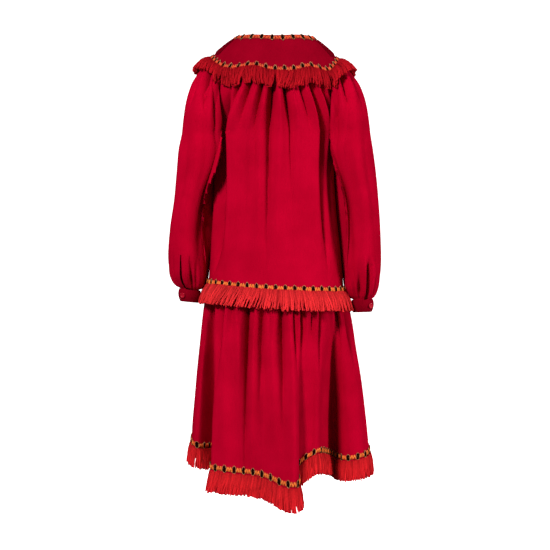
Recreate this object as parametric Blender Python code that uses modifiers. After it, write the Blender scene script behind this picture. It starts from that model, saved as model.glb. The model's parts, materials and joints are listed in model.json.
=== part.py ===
"""A wool folk dress, worn by no one but filled out: braided yoke, raglan sleeves, fringed skirt.

Units are metres and +Z is up. The back faces -Y and the wearer's right is +X. The origin lies between the
shoulders, where a wearer carries the dress. Every piece of cloth is a thin wall: its outer face comes from a
surface function, and its inner face is the same surface moved in by the cloth's thickness.

Angles around the body run in degrees from the centre back (0) over the wearer's right side (90) to the centre
front (180).
"""

import math
from collections import namedtuple

import bmesh
import bpy
import numpy as np
from mathutils import Vector

# Driving dimensions
WALL = 0.002
SEAM_TRIM = 0.0004
LAY_GAP = 0.0004
BRAID_HEIGHT = 0.014
BRAID_THICKNESS = 0.0016
HEADING_HEIGHT = 0.005
FRINGE_THICKNESS = 0.0026
FRINGE_GAP = 0.0007
FRINGE_RISE = 0.010
SHOULDER_RISE = 0.034
SHOULDER_REACH = 1.25
LOCK_TAPER = 0.62
LOCK_UNEVEN = 0.10
YOKE_FRINGE = 0.036
WAIST_FRINGE = 0.046
HEM_FRINGE = 0.047
BUTTON_RADIUS = 0.0065
BUTTON_THICKNESS = 0.003
BUTTON_LIFT = 0.0003
CUFF_HEIGHT = 0.031
CUFF_LAP = 0.10
UNDERARM_Z = -0.215
RAGLAN_ANGLE = {"back": 49.0, "front": 131.0}
BODICE_FULLNESS = 0.05
SLEEVE_CLEARANCE = 0.0020
FRINGE_CLEARANCE = 0.006
FRINGE_CLEAR_Z = -0.54
BODY_FLATTEN = 0.15
YOKE_BULGE = 0.004
NECK_HEM = 0.02
SLIT_TOP = 0.70
SLIT_HALF_WIDTH = 0.009
SLIT_SHARE = 0.004
BAND_THICKNESS = 0.0018
SEED = 11

# Lengths of the pieces, from which a distance along one becomes a share of it
YOKE_LENGTH = 0.095
BODICE_TOP_LENGTH = 0.133
BODICE_LENGTH = 0.3735
SKIRT_LENGTH = 0.43
SLEEVE_LENGTH = 0.38

# What is taken off the edges that meet at a side, in degrees, and off a sleeve's raglan edges, as a share
SIDE_TRIM = {"yoke": 0.08, "bodice": 0.07, "skirt": 0.04}
RAGLAN_TRIM = 0.0036

# Steps from which the surfaces' normals are measured, in degrees and as a share of a sleeve
TURN_STEP = 0.4
SKIRT_STEP = 0.3
AROUND_STEP = 0.002

# Columns and rows of the walls
YOKE_COLUMNS = 44
BODICE_COLUMNS = 28
SKIRT_COLUMNS = 34
SLEEVE_COLUMNS = 24
CUFF_COLUMNS = 26
YOKE_ROWS = (0.45, 0.62)
BODICE_ROWS = (0.10, 0.22, 0.40, 0.60, 0.80, 1.0, 1.2, 1.42, 1.66, 1.85)
SKIRT_ROWS = (0.06, 0.12, 0.20, 0.33, 0.48, 0.65, 0.82)
SLEEVE_ROWS = (0.006, 0.10, 0.25, 0.45, 0.68, 0.88, 1.0, 1.12, 1.28, 1.48)
SLIT_ROWS = (1 + SLIT_TOP, 1.78, 1.86, 1.94, 2 - SEAM_TRIM / SLEEVE_LENGTH)

# Closed curves round the body: angle and place
Place = namedtuple("Place", "angle x y z")
NECK_EDGE = (
    Place(0, 0.000, -0.076, 0.0225),
    Place(48, 0.070, -0.058, 0.0265),
    Place(90, 0.094, -0.004, 0.0265),
    Place(135, 0.070, 0.062, -0.006),
    Place(180, 0.000, 0.092, -0.036),
    Place(225, -0.070, 0.062, -0.006),
    Place(270, -0.094, -0.004, 0.0275),
    Place(312, -0.070, -0.058, 0.0270),
)
YOKE_EDGE = (
    Place(0, 0.000, -0.135, -0.066),
    Place(25, 0.066, -0.127, -0.062),
    Place(49, 0.124, -0.100, -0.060),
    Place(70, 0.151, -0.052, -0.043),
    Place(90, 0.162, 0.000, -0.027),
    Place(112, 0.152, 0.066, -0.046),
    Place(131, 0.126, 0.106, -0.080),
    Place(180, 0.000, 0.140, -0.130),
    Place(229, -0.126, 0.106, -0.078),
    Place(248, -0.152, 0.066, -0.042),
    Place(270, -0.163, 0.000, -0.0225),
    Place(290, -0.151, -0.052, -0.040),
    Place(311, -0.124, -0.100, -0.057),
    Place(335, -0.066, -0.127, -0.061),
)
HEM_EDGE = (
    Place(0, -0.012, -0.184, -1.0450),
    Place(9, 0.025, -0.196, -1.0590),
    Place(15, 0.048, -0.199, -1.0600),
    Place(19, 0.055, -0.172, -1.0530),
    Place(26, 0.061, -0.090, -1.0330),
    Place(34, 0.084, -0.035, -1.0160),
    Place(43, 0.116, -0.022, -1.0070),
    Place(53, 0.148, -0.055, -1.0100),
    Place(63, 0.180, -0.082, -1.0140),
    Place(76, 0.218, -0.050, -1.0120),
    Place(90, 0.236, 0.012, -1.0060),
    Place(106, 0.221, 0.082, -1.0070),
    Place(120, 0.172, 0.106, -1.0150),
    Place(133, 0.142, 0.158, -1.0220),
    Place(147, 0.098, 0.186, -1.0270),
    Place(160, 0.060, 0.158, -1.0250),
    Place(173, 0.024, 0.152, -1.0230),
    Place(187, -0.022, 0.192, -1.0290),
    Place(201, -0.070, 0.198, -1.0270),
    Place(215, -0.108, 0.160, -1.0190),
    Place(229, -0.138, 0.150, -1.0150),
    Place(244, -0.180, 0.150, -1.0050),
    Place(258, -0.207, 0.104, -0.9840),
    Place(271, -0.208, 0.046, -0.9850),
    Place(285, -0.187, 0.002, -0.9950),
    Place(295, -0.161, -0.030, -1.0010),
    Place(303, -0.156, -0.105, -1.0180),
    Place(310, -0.142, -0.152, -1.0260),
    Place(330, -0.084, -0.170, -1.0330),
    Place(346, -0.048, -0.172, -1.0360),
)

# Sections of the body below the underarm: half-width on each side, and depth behind and before the origin
BodySection = namedtuple("BodySection", "z left right back front")
BODY_SECTIONS = (
    BodySection(-0.600, 0.168, 0.172, 0.136, 0.143),
    BodySection(-0.500, 0.159, 0.162, 0.130, 0.138),
    BodySection(-0.400, 0.150, 0.152, 0.126, 0.136),
    BodySection(-0.300, 0.147, 0.147, 0.128, 0.139),
    BodySection(-0.215, 0.149, 0.149, 0.131, 0.142),
)

# The seam between body and sleeve: the way down to the underarm, and the angle from the middle of its half
Seam = namedtuple("Seam", "down angle")
RAGLAN_SEAM = {
    "back": (Seam(0, 49), Seam(0.2, 53), Seam(0.5, 66), Seam(0.8, 81), Seam(1, 90)),
    "front": (Seam(0, 49), Seam(0.2, 52), Seam(0.5, 62), Seam(0.8, 78), Seam(1, 90)),
}

# Sections of the sleeves: distances from the body's middle plane to the outer and the inner side
SleeveSection = namedtuple("SleeveSection", "z outer inner middle_y half_depth")
SLEEVE_SECTIONS = {
    "left": (
        SleeveSection(-0.5985, 0.2390, 0.1860, -0.012, 0.030),
        SleeveSection(-0.5900, 0.2500, 0.1770, -0.012, 0.040),
        SleeveSection(-0.5750, 0.2590, 0.1690, -0.013, 0.052),
        SleeveSection(-0.5400, 0.2640, 0.1570, -0.015, 0.064),
        SleeveSection(-0.4500, 0.2600, 0.1480, -0.018, 0.070),
        SleeveSection(-0.3750, 0.2490, 0.1350, -0.024, 0.078),
        SleeveSection(-0.3000, 0.2410, 0.1100, -0.030, 0.085),
        SleeveSection(-0.2500, 0.2360, 0.1080, -0.030, 0.086),
        SleeveSection(-0.2150, 0.2290, 0.1180, -0.026, 0.084),
    ),
    "right": (
        SleeveSection(-0.6235, 0.2440, 0.1910, -0.012, 0.029),
        SleeveSection(-0.6150, 0.2500, 0.1840, -0.012, 0.038),
        SleeveSection(-0.6000, 0.2560, 0.1740, -0.013, 0.049),
        SleeveSection(-0.5650, 0.2610, 0.1600, -0.015, 0.062),
        SleeveSection(-0.4600, 0.2610, 0.1460, -0.018, 0.070),
        SleeveSection(-0.3600, 0.2540, 0.1300, -0.024, 0.078),
        SleeveSection(-0.3000, 0.2470, 0.1160, -0.028, 0.083),
        SleeveSection(-0.2500, 0.2400, 0.1140, -0.028, 0.084),
        SleeveSection(-0.2150, 0.2350, 0.1220, -0.024, 0.082),
    ),
}
SIDE = {"left": -1, "right": 1}
SLIT_PLACE = {"left": 0.345, "right": 0.370}

# Folds: where each starts and ends around its piece, its depth and half-width, and where along the piece
# it begins, is deepest and fades out
Fold = namedtuple("Fold", "top foot depth width begins full fades")
BODICE_FOLDS = (
    Fold(-62, -74, 0.006, 5.0, 0.05, 0.30, 0.90),
    Fold(-36, -34, 0.006, 4.2, 0.02, 0.20, 0.85),
    Fold(-19, -20, 0.007, 4.0, 0.02, 0.20, 1.30),
    Fold(-3, -8, 0.010, 5.0, 0.02, 0.30, 1.80),
    Fold(14, 16, 0.006, 4.0, 0.02, 0.20, 1.00),
    Fold(38, 34, 0.007, 4.5, 0.02, 0.20, 1.10),
    Fold(56, 47, 0.015, 5.0, 0.02, 0.40, 1.70),
    Fold(72, 66, 0.006, 4.5, 0.02, 0.20, 0.80),
    Fold(112, 116, 0.007, 5.0, 0.02, 0.30, 1.00),
    Fold(131, 133, 0.009, 5.0, 0.02, 0.30, 1.50),
    Fold(150, 148, 0.007, 4.5, 0.02, 0.25, 1.20),
    Fold(169, 168, 0.006, 4.2, 0.02, 0.25, 1.00),
    Fold(187, 188, 0.006, 4.2, 0.02, 0.25, 1.10),
    Fold(205, 208, 0.008, 4.5, 0.02, 0.25, 1.40),
    Fold(225, 229, 0.009, 5.0, 0.02, 0.30, 1.50),
    Fold(246, 244, 0.007, 5.0, 0.02, 0.30, 1.00),
)
SKIRT_FOLDS = (
    Fold(-84, -80, 0.008, 3.4, 0.02, 0.12, 0.45),
    Fold(-68, -64, 0.009, 3.4, 0.02, 0.12, 0.50),
    Fold(-52, -56, 0.013, 3.2, 0.02, 0.12, 0.75),
    Fold(-38, -38, 0.007, 3.0, 0.02, 0.12, 0.40),
    Fold(-24, -25, 0.012, 3.4, 0.02, 0.12, 0.70),
    Fold(-10, -13, 0.006, 3.4, 0.02, 0.12, 0.50),
    Fold(5, 7, 0.010, 3.2, 0.02, 0.12, 0.60),
    Fold(16, 18, 0.008, 2.8, 0.02, 0.12, 0.45),
    Fold(25, 25, 0.009, 2.8, 0.02, 0.12, 0.40),
    Fold(34, 34, 0.009, 2.8, 0.02, 0.12, 0.45),
    Fold(43, 43, 0.011, 3.0, 0.02, 0.12, 0.60),
    Fold(58, 62, 0.010, 3.2, 0.02, 0.12, 0.45),
    Fold(73, 78, 0.009, 3.2, 0.02, 0.12, 0.50),
    Fold(98, 98, 0.009, 3.4, 0.02, 0.12, 0.45),
    Fold(112, 114, 0.012, 3.4, 0.02, 0.12, 0.60),
    Fold(127, 126, 0.008, 3.2, 0.02, 0.12, 0.45),
    Fold(142, 141, 0.010, 3.2, 0.02, 0.12, 0.50),
    Fold(157, 160, 0.012, 3.4, 0.02, 0.12, 0.65),
    Fold(172, 173, 0.008, 3.0, 0.02, 0.12, 0.45),
    Fold(186, 186, 0.009, 3.0, 0.02, 0.12, 0.45),
    Fold(201, 200, 0.010, 3.2, 0.02, 0.12, 0.50),
    Fold(216, 218, 0.012, 3.4, 0.02, 0.12, 0.60),
    Fold(231, 230, 0.008, 3.2, 0.02, 0.12, 0.45),
    Fold(246, 247, 0.010, 3.4, 0.02, 0.12, 0.50),
    Fold(260, 260, 0.008, 3.2, 0.02, 0.12, 0.45),
)
SLEEVE_FOLDS = (
    Fold(0.16, 0.20, 0.008, 0.034, 0.04, 0.45, 1.20),
    Fold(0.29, 0.30, 0.008, 0.032, 0.04, 0.35, 1.10),
    Fold(0.42, 0.43, 0.007, 0.030, 0.04, 0.35, 0.90),
    Fold(0.56, 0.56, 0.007, 0.030, 0.04, 0.35, 1.00),
    Fold(0.70, 0.69, 0.008, 0.032, 0.04, 0.35, 1.10),
    Fold(0.84, 0.80, 0.008, 0.034, 0.04, 0.45, 1.20),
    Fold(0.16, 0.16, 0.004, 0.028, 1.60, 1.94, 2.02),
    Fold(0.28, 0.27, 0.004, 0.028, 1.66, 1.94, 2.02),
    Fold(0.48, 0.48, 0.004, 0.028, 1.55, 1.94, 2.02),
    Fold(0.60, 0.60, 0.004, 0.028, 1.60, 1.94, 2.02),
    Fold(0.72, 0.73, 0.004, 0.028, 1.58, 1.94, 2.02),
    Fold(0.86, 0.86, 0.004, 0.028, 1.62, 1.94, 2.02),
)

COLOURS = {
    "cloth": ((0.52, 0.002, 0.022, 1.0), 0.9),
    "braid": ((0.75, 0.16, 0.03, 1.0), 0.8),
    "yarn": ((0.70, 0.035, 0.030, 1.0), 0.9),
    "button": ((0.36, 0.002, 0.012, 1.0), 0.5),
}


def clear_scene():
    for obj in list(bpy.data.objects):
        bpy.data.objects.remove(obj, do_unlink=True)


def spline(rows, at, period=None):
    """Values at `at` on a smooth curve through rows of (key, value, value...), closed over `period`."""
    table = np.array(sorted(rows), float)
    keys = table[:, 0]
    values = table[:, 1:]
    at = np.asarray(at, float)
    if period:
        keys = np.concatenate([keys[-2:] - period, keys, keys[:2] + period])
        values = np.concatenate([values[-2:], values, values[:2]])
        at = keys[2] + np.mod(at - keys[2], period)
    at = np.clip(at, keys[0], keys[-1])
    slopes = np.gradient(values, keys, axis=0)
    i = np.clip(np.searchsorted(keys, at, side="right") - 1, 0, len(keys) - 2)
    span = (keys[i + 1] - keys[i])[..., None]
    f = (at - keys[i])[..., None] / span
    return (
        values[i] * (1 + 2 * f) * (1 - f) ** 2
        + slopes[i] * span * f * (1 - f) ** 2
        + values[i + 1] * (3 - 2 * f) * f**2
        - slopes[i + 1] * span * (1 - f) * f**2
    )


def smooth_step(x):
    x = np.clip(x, 0, 1)
    return x * x * (3 - 2 * x)


def unit(vectors):
    return vectors / np.maximum(np.linalg.norm(vectors, axis=-1, keepdims=True), 1e-12)


def mixed(first, second, share):
    return first + (second - first) * np.asarray(share)[..., None]


def surface_normals(surface, across, along, step_across, step_along=1e-3):
    """Unit normals that point out of the dress, from differences of the surface function."""
    side = surface(across + step_across, along) - surface(across - step_across, along)
    down = surface(across, along + step_along) - surface(across, along - step_along)
    return unit(np.cross(down, side))


def fold_depth(folds, across, along, period=None):
    """How far the folds pull the surface in at each place."""
    depth = np.zeros(np.broadcast(across, along).shape)
    for fold in folds:
        centre = fold.top + (fold.foot - fold.top) * np.clip(along / fold.fades, 0, 1)
        away = across - centre
        if period:
            away = np.mod(away + period / 2, period) - period / 2
        grows = smooth_step((along - fold.begins) / (fold.full - fold.begins))
        fades = 1 - smooth_step((along - fold.full) / (fold.fades - fold.full))
        depth += fold.depth * np.exp(-((away / fold.width) ** 2)) * grows * fades
    return depth


def neck_edge(angle):
    return spline(NECK_EDGE, angle, 360)


def yoke_edge(angle):
    """The yoke's outer edge, which ripples a little across the back."""
    edge = spline(YOKE_EDGE, angle, 360)
    at_back = smooth_step(-edge[..., 1] / 0.1)
    edge[..., 2] -= 0.003 * at_back * np.cos((edge[..., 0] - 0.010) * 2 * math.pi / 0.122)
    return edge


def yoke(angle, down):
    """The yoke from the neck edge (0) to its outer edge (1)."""
    place = mixed(neck_edge(angle), yoke_edge(angle), down)
    place[..., 2] += YOKE_BULGE * np.sin(math.pi * np.clip(down, 0, 1))
    return place


def body_outline(angle, z):
    """The section of the body at a height below the underarm: a flattened ellipse."""
    width = spline([(s.z, s.left, s.right, s.back, s.front) for s in BODY_SECTIONS], z)
    across = np.sin(np.radians(angle))
    ahead = -np.cos(np.radians(angle))
    half_width = np.where(across < 0, width[..., 0], width[..., 1])
    depth = np.where(ahead < 0, width[..., 2], width[..., 3])
    return np.stack(
        [
            half_width * across,
            depth * ahead * (1 + BODY_FLATTEN * across**2),
            np.broadcast_to(z, across.shape),
        ],
        axis=-1,
    )


def waist_z(angle):
    """The dropped waist, lower on the wearer's right."""
    return -0.5885 - 0.0100 * np.sin(np.radians(angle))


def raglan_angle(half, down):
    """The angle of the seam between body and sleeve, measured from the middle of its half."""
    return spline(RAGLAN_SEAM[half], down)[..., 0]


def torso(angle, down):
    """The body from the yoke's edge (0) to the underarm (1), as if it had no armholes."""
    angle, down = np.broadcast_arrays(np.asarray(angle, float), np.asarray(down, float))
    top = yoke_edge(angle)
    foot = body_outline(np.mod(angle + 180, 360) - 180, np.full(angle.shape, UNDERARM_Z))
    place = mixed(top, foot, 1 - (1 - down) ** 2)
    place[..., :2] *= 1 + (BODICE_FULLNESS * np.sin(math.pi * np.clip(down, 0, 1)))[..., None]
    place[..., 2] = top[..., 2] + (UNDERARM_Z - top[..., 2]) * down
    return place


def raglan(side, half, down):
    """The seam between body and sleeve, from the yoke (0) to the underarm (1)."""
    middle = 0.0 if half == "back" else 180.0
    turned = raglan_angle(half, down) * SIDE[side] * (1 if half == "back" else -1)
    return torso(middle + turned, down)


def bodice(half, angle, along):
    """One half of the bodice: yoke (0), underarm (1) and dropped waist (2), without folds."""
    angle, along = np.broadcast_arrays(np.asarray(angle, float), np.asarray(along, float))
    middle = 0.0 if half == "back" else 180.0
    down = np.clip(along, 0, 1)
    narrowed = middle + (angle - middle) * raglan_angle(half, down) / 90
    wrapped = np.mod(angle + 180, 360) - 180
    z = UNDERARM_Z + (waist_z(angle) - UNDERARM_Z) * np.clip(along - 1, 0, 2)
    return np.where((along > 1)[..., None], body_outline(wrapped, z), torso(narrowed, down))


def folded_bodice(half, angle, along):
    def plain(across, way):
        return bodice(half, across, way)

    normals = surface_normals(plain, angle, along, TURN_STEP)
    wrapped = np.mod(np.asarray(angle) + 90, 360) - 90
    edge = np.abs(np.mod(wrapped + 90, 180))
    edge = np.minimum(edge, 180 - edge)
    depth = fold_depth(BODICE_FOLDS, wrapped, along) * smooth_step(edge / 12)
    return plain(angle, along) - normals * depth[..., None]


def skirt(angle, down):
    """The skirt from the dropped waist (0) to its hem (1), without gathers."""
    angle, down = np.broadcast_arrays(np.asarray(angle, float), np.asarray(down, float))
    waist = body_outline(angle, waist_z(angle))
    hem = spline(HEM_EDGE, angle, 360)
    place = mixed(waist, hem, down * (1.5 - 0.5 * down))
    place[..., 2] = waist[..., 2] + (hem[..., 2] - waist[..., 2]) * down
    return place


def folded_skirt(angle, down):
    place = skirt(angle, down)
    normals = surface_normals(skirt, angle, down, TURN_STEP)
    depth = fold_depth(SKIRT_FOLDS, np.asarray(angle), down, 360)
    return place - normals * depth[..., None]


def clear_of_body(place, clearance):
    """Moves points out of the body's section, with some clearance."""
    z = np.clip(place[..., 2], BODY_SECTIONS[0].z, UNDERARM_Z)
    width = spline([(s.z, s.left, s.right, s.back, s.front) for s in BODY_SECTIONS], z)
    half_width = np.where(place[..., 0] < 0, width[..., 0], width[..., 1])
    depth = np.where(place[..., 1] < 0, width[..., 2], width[..., 3])
    flat = place[..., :2].copy()
    for _ in range(5):
        share = (flat[..., 0] / half_width) ** 2
        reach = np.sqrt(share + (flat[..., 1] / (depth * (1 + BODY_FLATTEN * share))) ** 2)
        flat = flat / np.maximum(reach, 1e-9)[..., None]
    limit = np.linalg.norm(flat, axis=-1) + clearance
    radius = np.linalg.norm(place[..., :2], axis=-1)
    scale = np.maximum(limit / np.maximum(radius, 1e-9), 1)
    moved = place.copy()
    moved[..., :2] *= scale[..., None]
    return moved


def clear_of_torso(place, clearance):
    """Moves points above the underarm out of the torso, with some clearance."""
    turned = np.degrees(np.arctan2(place[..., 0], -place[..., 1]))
    angle = turned.copy()
    for _ in range(5):
        top = yoke_edge(angle)[..., 2]
        down = np.clip((top - place[..., 2]) / (top - UNDERARM_Z), 0, 1)
        wall = torso(angle, down)
        off = turned - np.degrees(np.arctan2(wall[..., 0], -wall[..., 1]))
        angle = angle + np.mod(off + 180, 360) - 180
    limit = np.linalg.norm(wall[..., :2], axis=-1) + clearance * smooth_step(down / 0.12)
    scale = np.maximum(limit / np.maximum(np.linalg.norm(place[..., :2], axis=-1), 1e-9), 1)
    moved = place.copy()
    moved[..., :2] *= np.where(down > 0.02, scale, 1)[..., None]
    return moved


def sleeve_section(side, around, z):
    """A ring of the sleeve from the underarm (0) round its back, outer side (0.5) and front (1)."""
    rows = [(s.z, s.outer, s.inner, s.middle_y, s.half_depth) for s in SLEEVE_SECTIONS[side]]
    size = spline(rows, z)
    turn = 2 * math.pi * np.asarray(around) + np.arcsin(size[..., 2] / size[..., 3])
    middle = (size[..., 0] + size[..., 1]) / 2
    half_width = (size[..., 0] - size[..., 1]) / 2
    place = np.stack(
        [
            SIDE[side] * (middle - half_width * np.cos(turn)),
            size[..., 2] - size[..., 3] * np.sin(turn),
            np.broadcast_to(z, turn.shape),
        ],
        axis=-1,
    )
    beside_fringe = smooth_step((FRINGE_CLEAR_Z - place[..., 2]) / 0.05)
    return clear_of_body(place, SLEEVE_CLEARANCE + FRINGE_CLEARANCE * beside_fringe)


def cuff_top_z(side):
    return SLEEVE_SECTIONS[side][0].z


def sleeve(side, around, along):
    """A sleeve from the yoke (0) past the underarm (1) to the cuff (2), without folds."""
    around, along = np.broadcast_arrays(np.asarray(around, float), np.asarray(along, float))
    down = np.clip(along, 0, 1)
    start = RAGLAN_ANGLE["back"]
    angle = SIDE[side] * (start + (RAGLAN_ANGLE["front"] - start) * around)

    def straight(share, top):
        foot = sleeve_section(side, share, np.full(share.shape, UNDERARM_Z))
        wide = 0.8 * np.sin(math.pi * down / 2) + 0.2 * down
        drop = 0.75 * (1 - np.cos(math.pi * down / 2)) + 0.25 * down
        place = mixed(top, foot, wide)
        place[..., 2] = top[..., 2] + (UNDERARM_Z - top[..., 2]) * drop
        return place

    place = straight(around, yoke_edge(angle))
    for half, edge in (("back", 0.0), ("front", 1.0)):
        near = np.clip(1 - np.abs(around - edge), 0, 1) ** 2
        top = yoke_edge(np.full(around.shape, SIDE[side] * RAGLAN_ANGLE[half]))
        line = straight(np.full(around.shape, edge), top)
        place += (raglan(side, half, down) - line) * near[..., None] * (1 - down**8)[..., None]
    place = clear_of_torso(place, SLEEVE_CLEARANCE * (0.7 + 0.3 * down))
    z = UNDERARM_Z + (cuff_top_z(side) - UNDERARM_Z) * np.clip(along - 1, 0, 2)
    return np.where((along > 1)[..., None], sleeve_section(side, around, z), place)


def folded_sleeve(side, around, along):
    """The sleeve with its gathers, and with its slit standing open where the left one does."""

    def plain(share, way):
        return sleeve(side, share, way)

    place = plain(around, along)
    normals = surface_normals(plain, around, along, AROUND_STEP * SIDE[side])
    depth = fold_depth(SLEEVE_FOLDS, around, along)
    edge = smooth_step(np.minimum(around, 1 - around) / 0.06)
    place = place - normals * (depth * edge)[..., None]
    if side == "left":
        away = around - SLIT_PLACE[side]
        tangent = unit(plain(around + AROUND_STEP, along) - plain(around - AROUND_STEP, along))
        opened = SLIT_HALF_WIDTH * smooth_step((along - 1 - SLIT_TOP) / (1 - SLIT_TOP) * 0.9)
        push = np.sign(away) * np.exp(-np.abs(away) / 0.10) * opened
        place = place + tangent * push[..., None]
    return place


def spread(surface, first, last, count, heights, bend_length):
    """Column places: closer together where the surface is longer or bends more."""
    fine = np.linspace(first, last, 1200)
    cost = np.zeros(len(fine) - 1)
    for height in heights:
        line = surface(fine, np.full(fine.shape, height))
        steps = np.diff(line, axis=0)
        length = np.linalg.norm(steps, axis=1)
        turn = np.zeros(len(length))
        turn[1:] = np.linalg.norm(np.diff(unit(steps), axis=0), axis=1)
        cost += length + bend_length * turn
    reached = np.concatenate([[0], np.cumsum(cost)])
    return np.interp(np.linspace(0, reached[-1], count + 1), reached, fine)


def add_object(name, points, faces, colour):
    mesh = bpy.data.meshes.new(name)
    mesh.from_pydata([tuple(point) for point in points], [], faces)
    body = bmesh.new()
    body.from_mesh(mesh)
    bmesh.ops.recalc_face_normals(body, faces=body.faces)
    body.to_mesh(mesh)
    body.free()
    obj = bpy.data.objects.new(name, mesh)
    material = bpy.data.materials.new(name)
    material.use_nodes = True
    shader = material.node_tree.nodes["Principled BSDF"]
    shader.inputs["Base Color"].default_value = COLOURS[colour][0]
    shader.inputs["Roughness"].default_value = COLOURS[colour][1]
    mesh.materials.append(material)
    bpy.data.collections["folk_dress"].objects.link(obj)
    return obj


def thick_sheet(name, outer, inner, faces, colour):
    """A closed wall: the faces of its outer side, the matching inner ones, and a rim at each open edge."""
    count = len(outer)
    directed = {(a, b) for face in faces for a, b in zip(face, face[1:] + face[:1])}
    rim = [(b, a, a + count, b + count) for a, b in sorted(directed) if (b, a) not in directed]
    back = [tuple(index + count for index in reversed(face)) for face in faces]
    used = sorted({index for face in faces for index in face})
    place = {old: new for new, old in enumerate(used + [index + count for index in used])}
    points = np.concatenate([outer, inner])[sorted(place, key=place.get)]
    walls = [tuple(place[index] for index in face) for face in [*faces, *back, *rim]]
    return add_object(name, points, walls, colour)


def grid_faces(rows, columns, ids, skip=lambda row, column: False):
    """Pairs of triangles of a grid, all cut along one diagonal, so that what lies on a wall follows it."""
    faces = []
    for r in range(rows - 1):
        for c in range(columns - 1):
            if not skip(r, c):
                faces.append((ids[r][c], ids[r + 1][c], ids[r + 1][c + 1]))
                faces.append((ids[r][c], ids[r + 1][c + 1], ids[r][c + 1]))
    return faces


def sheet_from(name, surface, across, along, step, seam_angle=None, closed=None, skip=None):
    """A cloth wall on a surface function: `across` holds its columns and `along` its rows.

    `seam_angle(across)` gives the place on the yoke's edge that each column hangs from, where the wall's end
    lies flat against the yoke's. `closed(row)` says whether the last column meets the first in that row.
    """
    columns, rows = np.meshgrid(across, along)
    outer = surface(columns, rows)
    normals = surface_normals(surface, columns, rows, step)
    if seam_angle:
        angles = seam_angle(np.asarray(across))
        normals[0] = surface_normals(yoke, angles, np.ones(angles.shape), TURN_STEP)
    inner = outer - normals * WALL
    width = len(across)
    ids = np.arange(len(along) * width).reshape(len(along), width)
    for row in range(len(along)):
        if closed and closed(row):
            ids[row, -1] = ids[row, 0]
    faces = grid_faces(len(along), width, ids.tolist(), skip or (lambda row, column: False))
    flat_outer = outer.reshape(-1, 3)
    return thick_sheet(name, flat_outer, inner.reshape(-1, 3), faces, "cloth")


def laid_on(surface, across, along, step, lift):
    """Points of a surface moved out by `lift`."""
    columns, rows = np.meshgrid(across, along)
    return surface(columns, rows) + surface_normals(surface, columns, rows, step) * lift


def strip_on(name, surface, across, along, step, thickness, colour, closed=False):
    """A strip that lies on a surface: its inner face is the surface's own points moved out."""
    inner = laid_on(surface, across, along, step, LAY_GAP)
    outer = laid_on(surface, across, along, step, LAY_GAP + thickness)
    width = len(across)
    ids = np.arange(len(along) * width).reshape(len(along), width)
    if closed:
        ids[:, -1] = ids[:, 0]
    faces = grid_faces(len(along), width, ids.tolist())
    return thick_sheet(name, outer.reshape(-1, 3), inner.reshape(-1, 3), faces, colour)


def fringe_on(name, surface, across, along, step, direction, length, generator):
    """A closed heading on the surface with a tapered lock of yarn hanging from each of its lower faces."""
    inner = laid_on(surface, across, along, step, FRINGE_GAP)[:, :-1]
    outer = laid_on(surface, across, along, step, FRINGE_GAP + FRINGE_THICKNESS)[:, :-1]
    count = inner.shape[1]
    points = [inner[0], outer[0], outer[1], inner[1]]
    faces = []
    for c in range(count):
        n = (c + 1) % count
        for ring in (0, 1, 3):
            after = (ring + 1) % 4
            faces.append((ring * count + c, after * count + c, after * count + n, ring * count + n))
    middles = (across[:-1] + across[1:]) / 2
    way = direction(middles)
    tips = []
    for c in range(count):
        n = (c + 1) % count
        root = np.array([outer[1][c], outer[1][n], inner[1][n], inner[1][c]])
        middle = root.mean(axis=0)
        reach = length * (1 + generator.uniform(-LOCK_UNEVEN, LOCK_UNEVEN))
        tip = middle + way[c] * reach + (root - middle) * LOCK_TAPER
        first = 4 * count + 4 * c
        tips.append(tip)
        corners = [2 * count + c, 2 * count + n, 3 * count + n, 3 * count + c]
        for k in range(4):
            faces.append((corners[k], first + k, first + (k + 1) % 4, corners[(k + 1) % 4]))
        faces.append(tuple(first + k for k in range(4)))
    flat = np.concatenate(points + tips)
    return add_object(name, flat, faces, "yarn")


def down_and_out(surface, along, step, outwards):
    """Directions of hanging yarn: down, and out by a share that may change round the body."""

    def direction(angle):
        normals = surface_normals(surface, angle, np.full(angle.shape, along), step)
        normals[..., 2] = 0
        return unit(unit(normals) * outwards(angle)[..., None] - np.array([0, 0, 1.0]))

    return direction


def cloth_below_yoke(angle, along):
    """The bodice or sleeve that hangs from the yoke's edge at this angle (-180 to 180)."""
    wide = RAGLAN_ANGLE["front"] - RAGLAN_ANGLE["back"]
    around = (np.abs(angle) - RAGLAN_ANGLE["back"]) / wide
    along = np.full(angle.shape, along)
    body = torso(angle, along)
    arms = {side: sleeve(side, np.clip(around, 0, 1), along) for side in SIDE}
    arm = np.where((angle < 0)[..., None], arms["left"], arms["right"])
    return np.where(((around >= 0) & (around <= 1))[..., None], arm, body)


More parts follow.
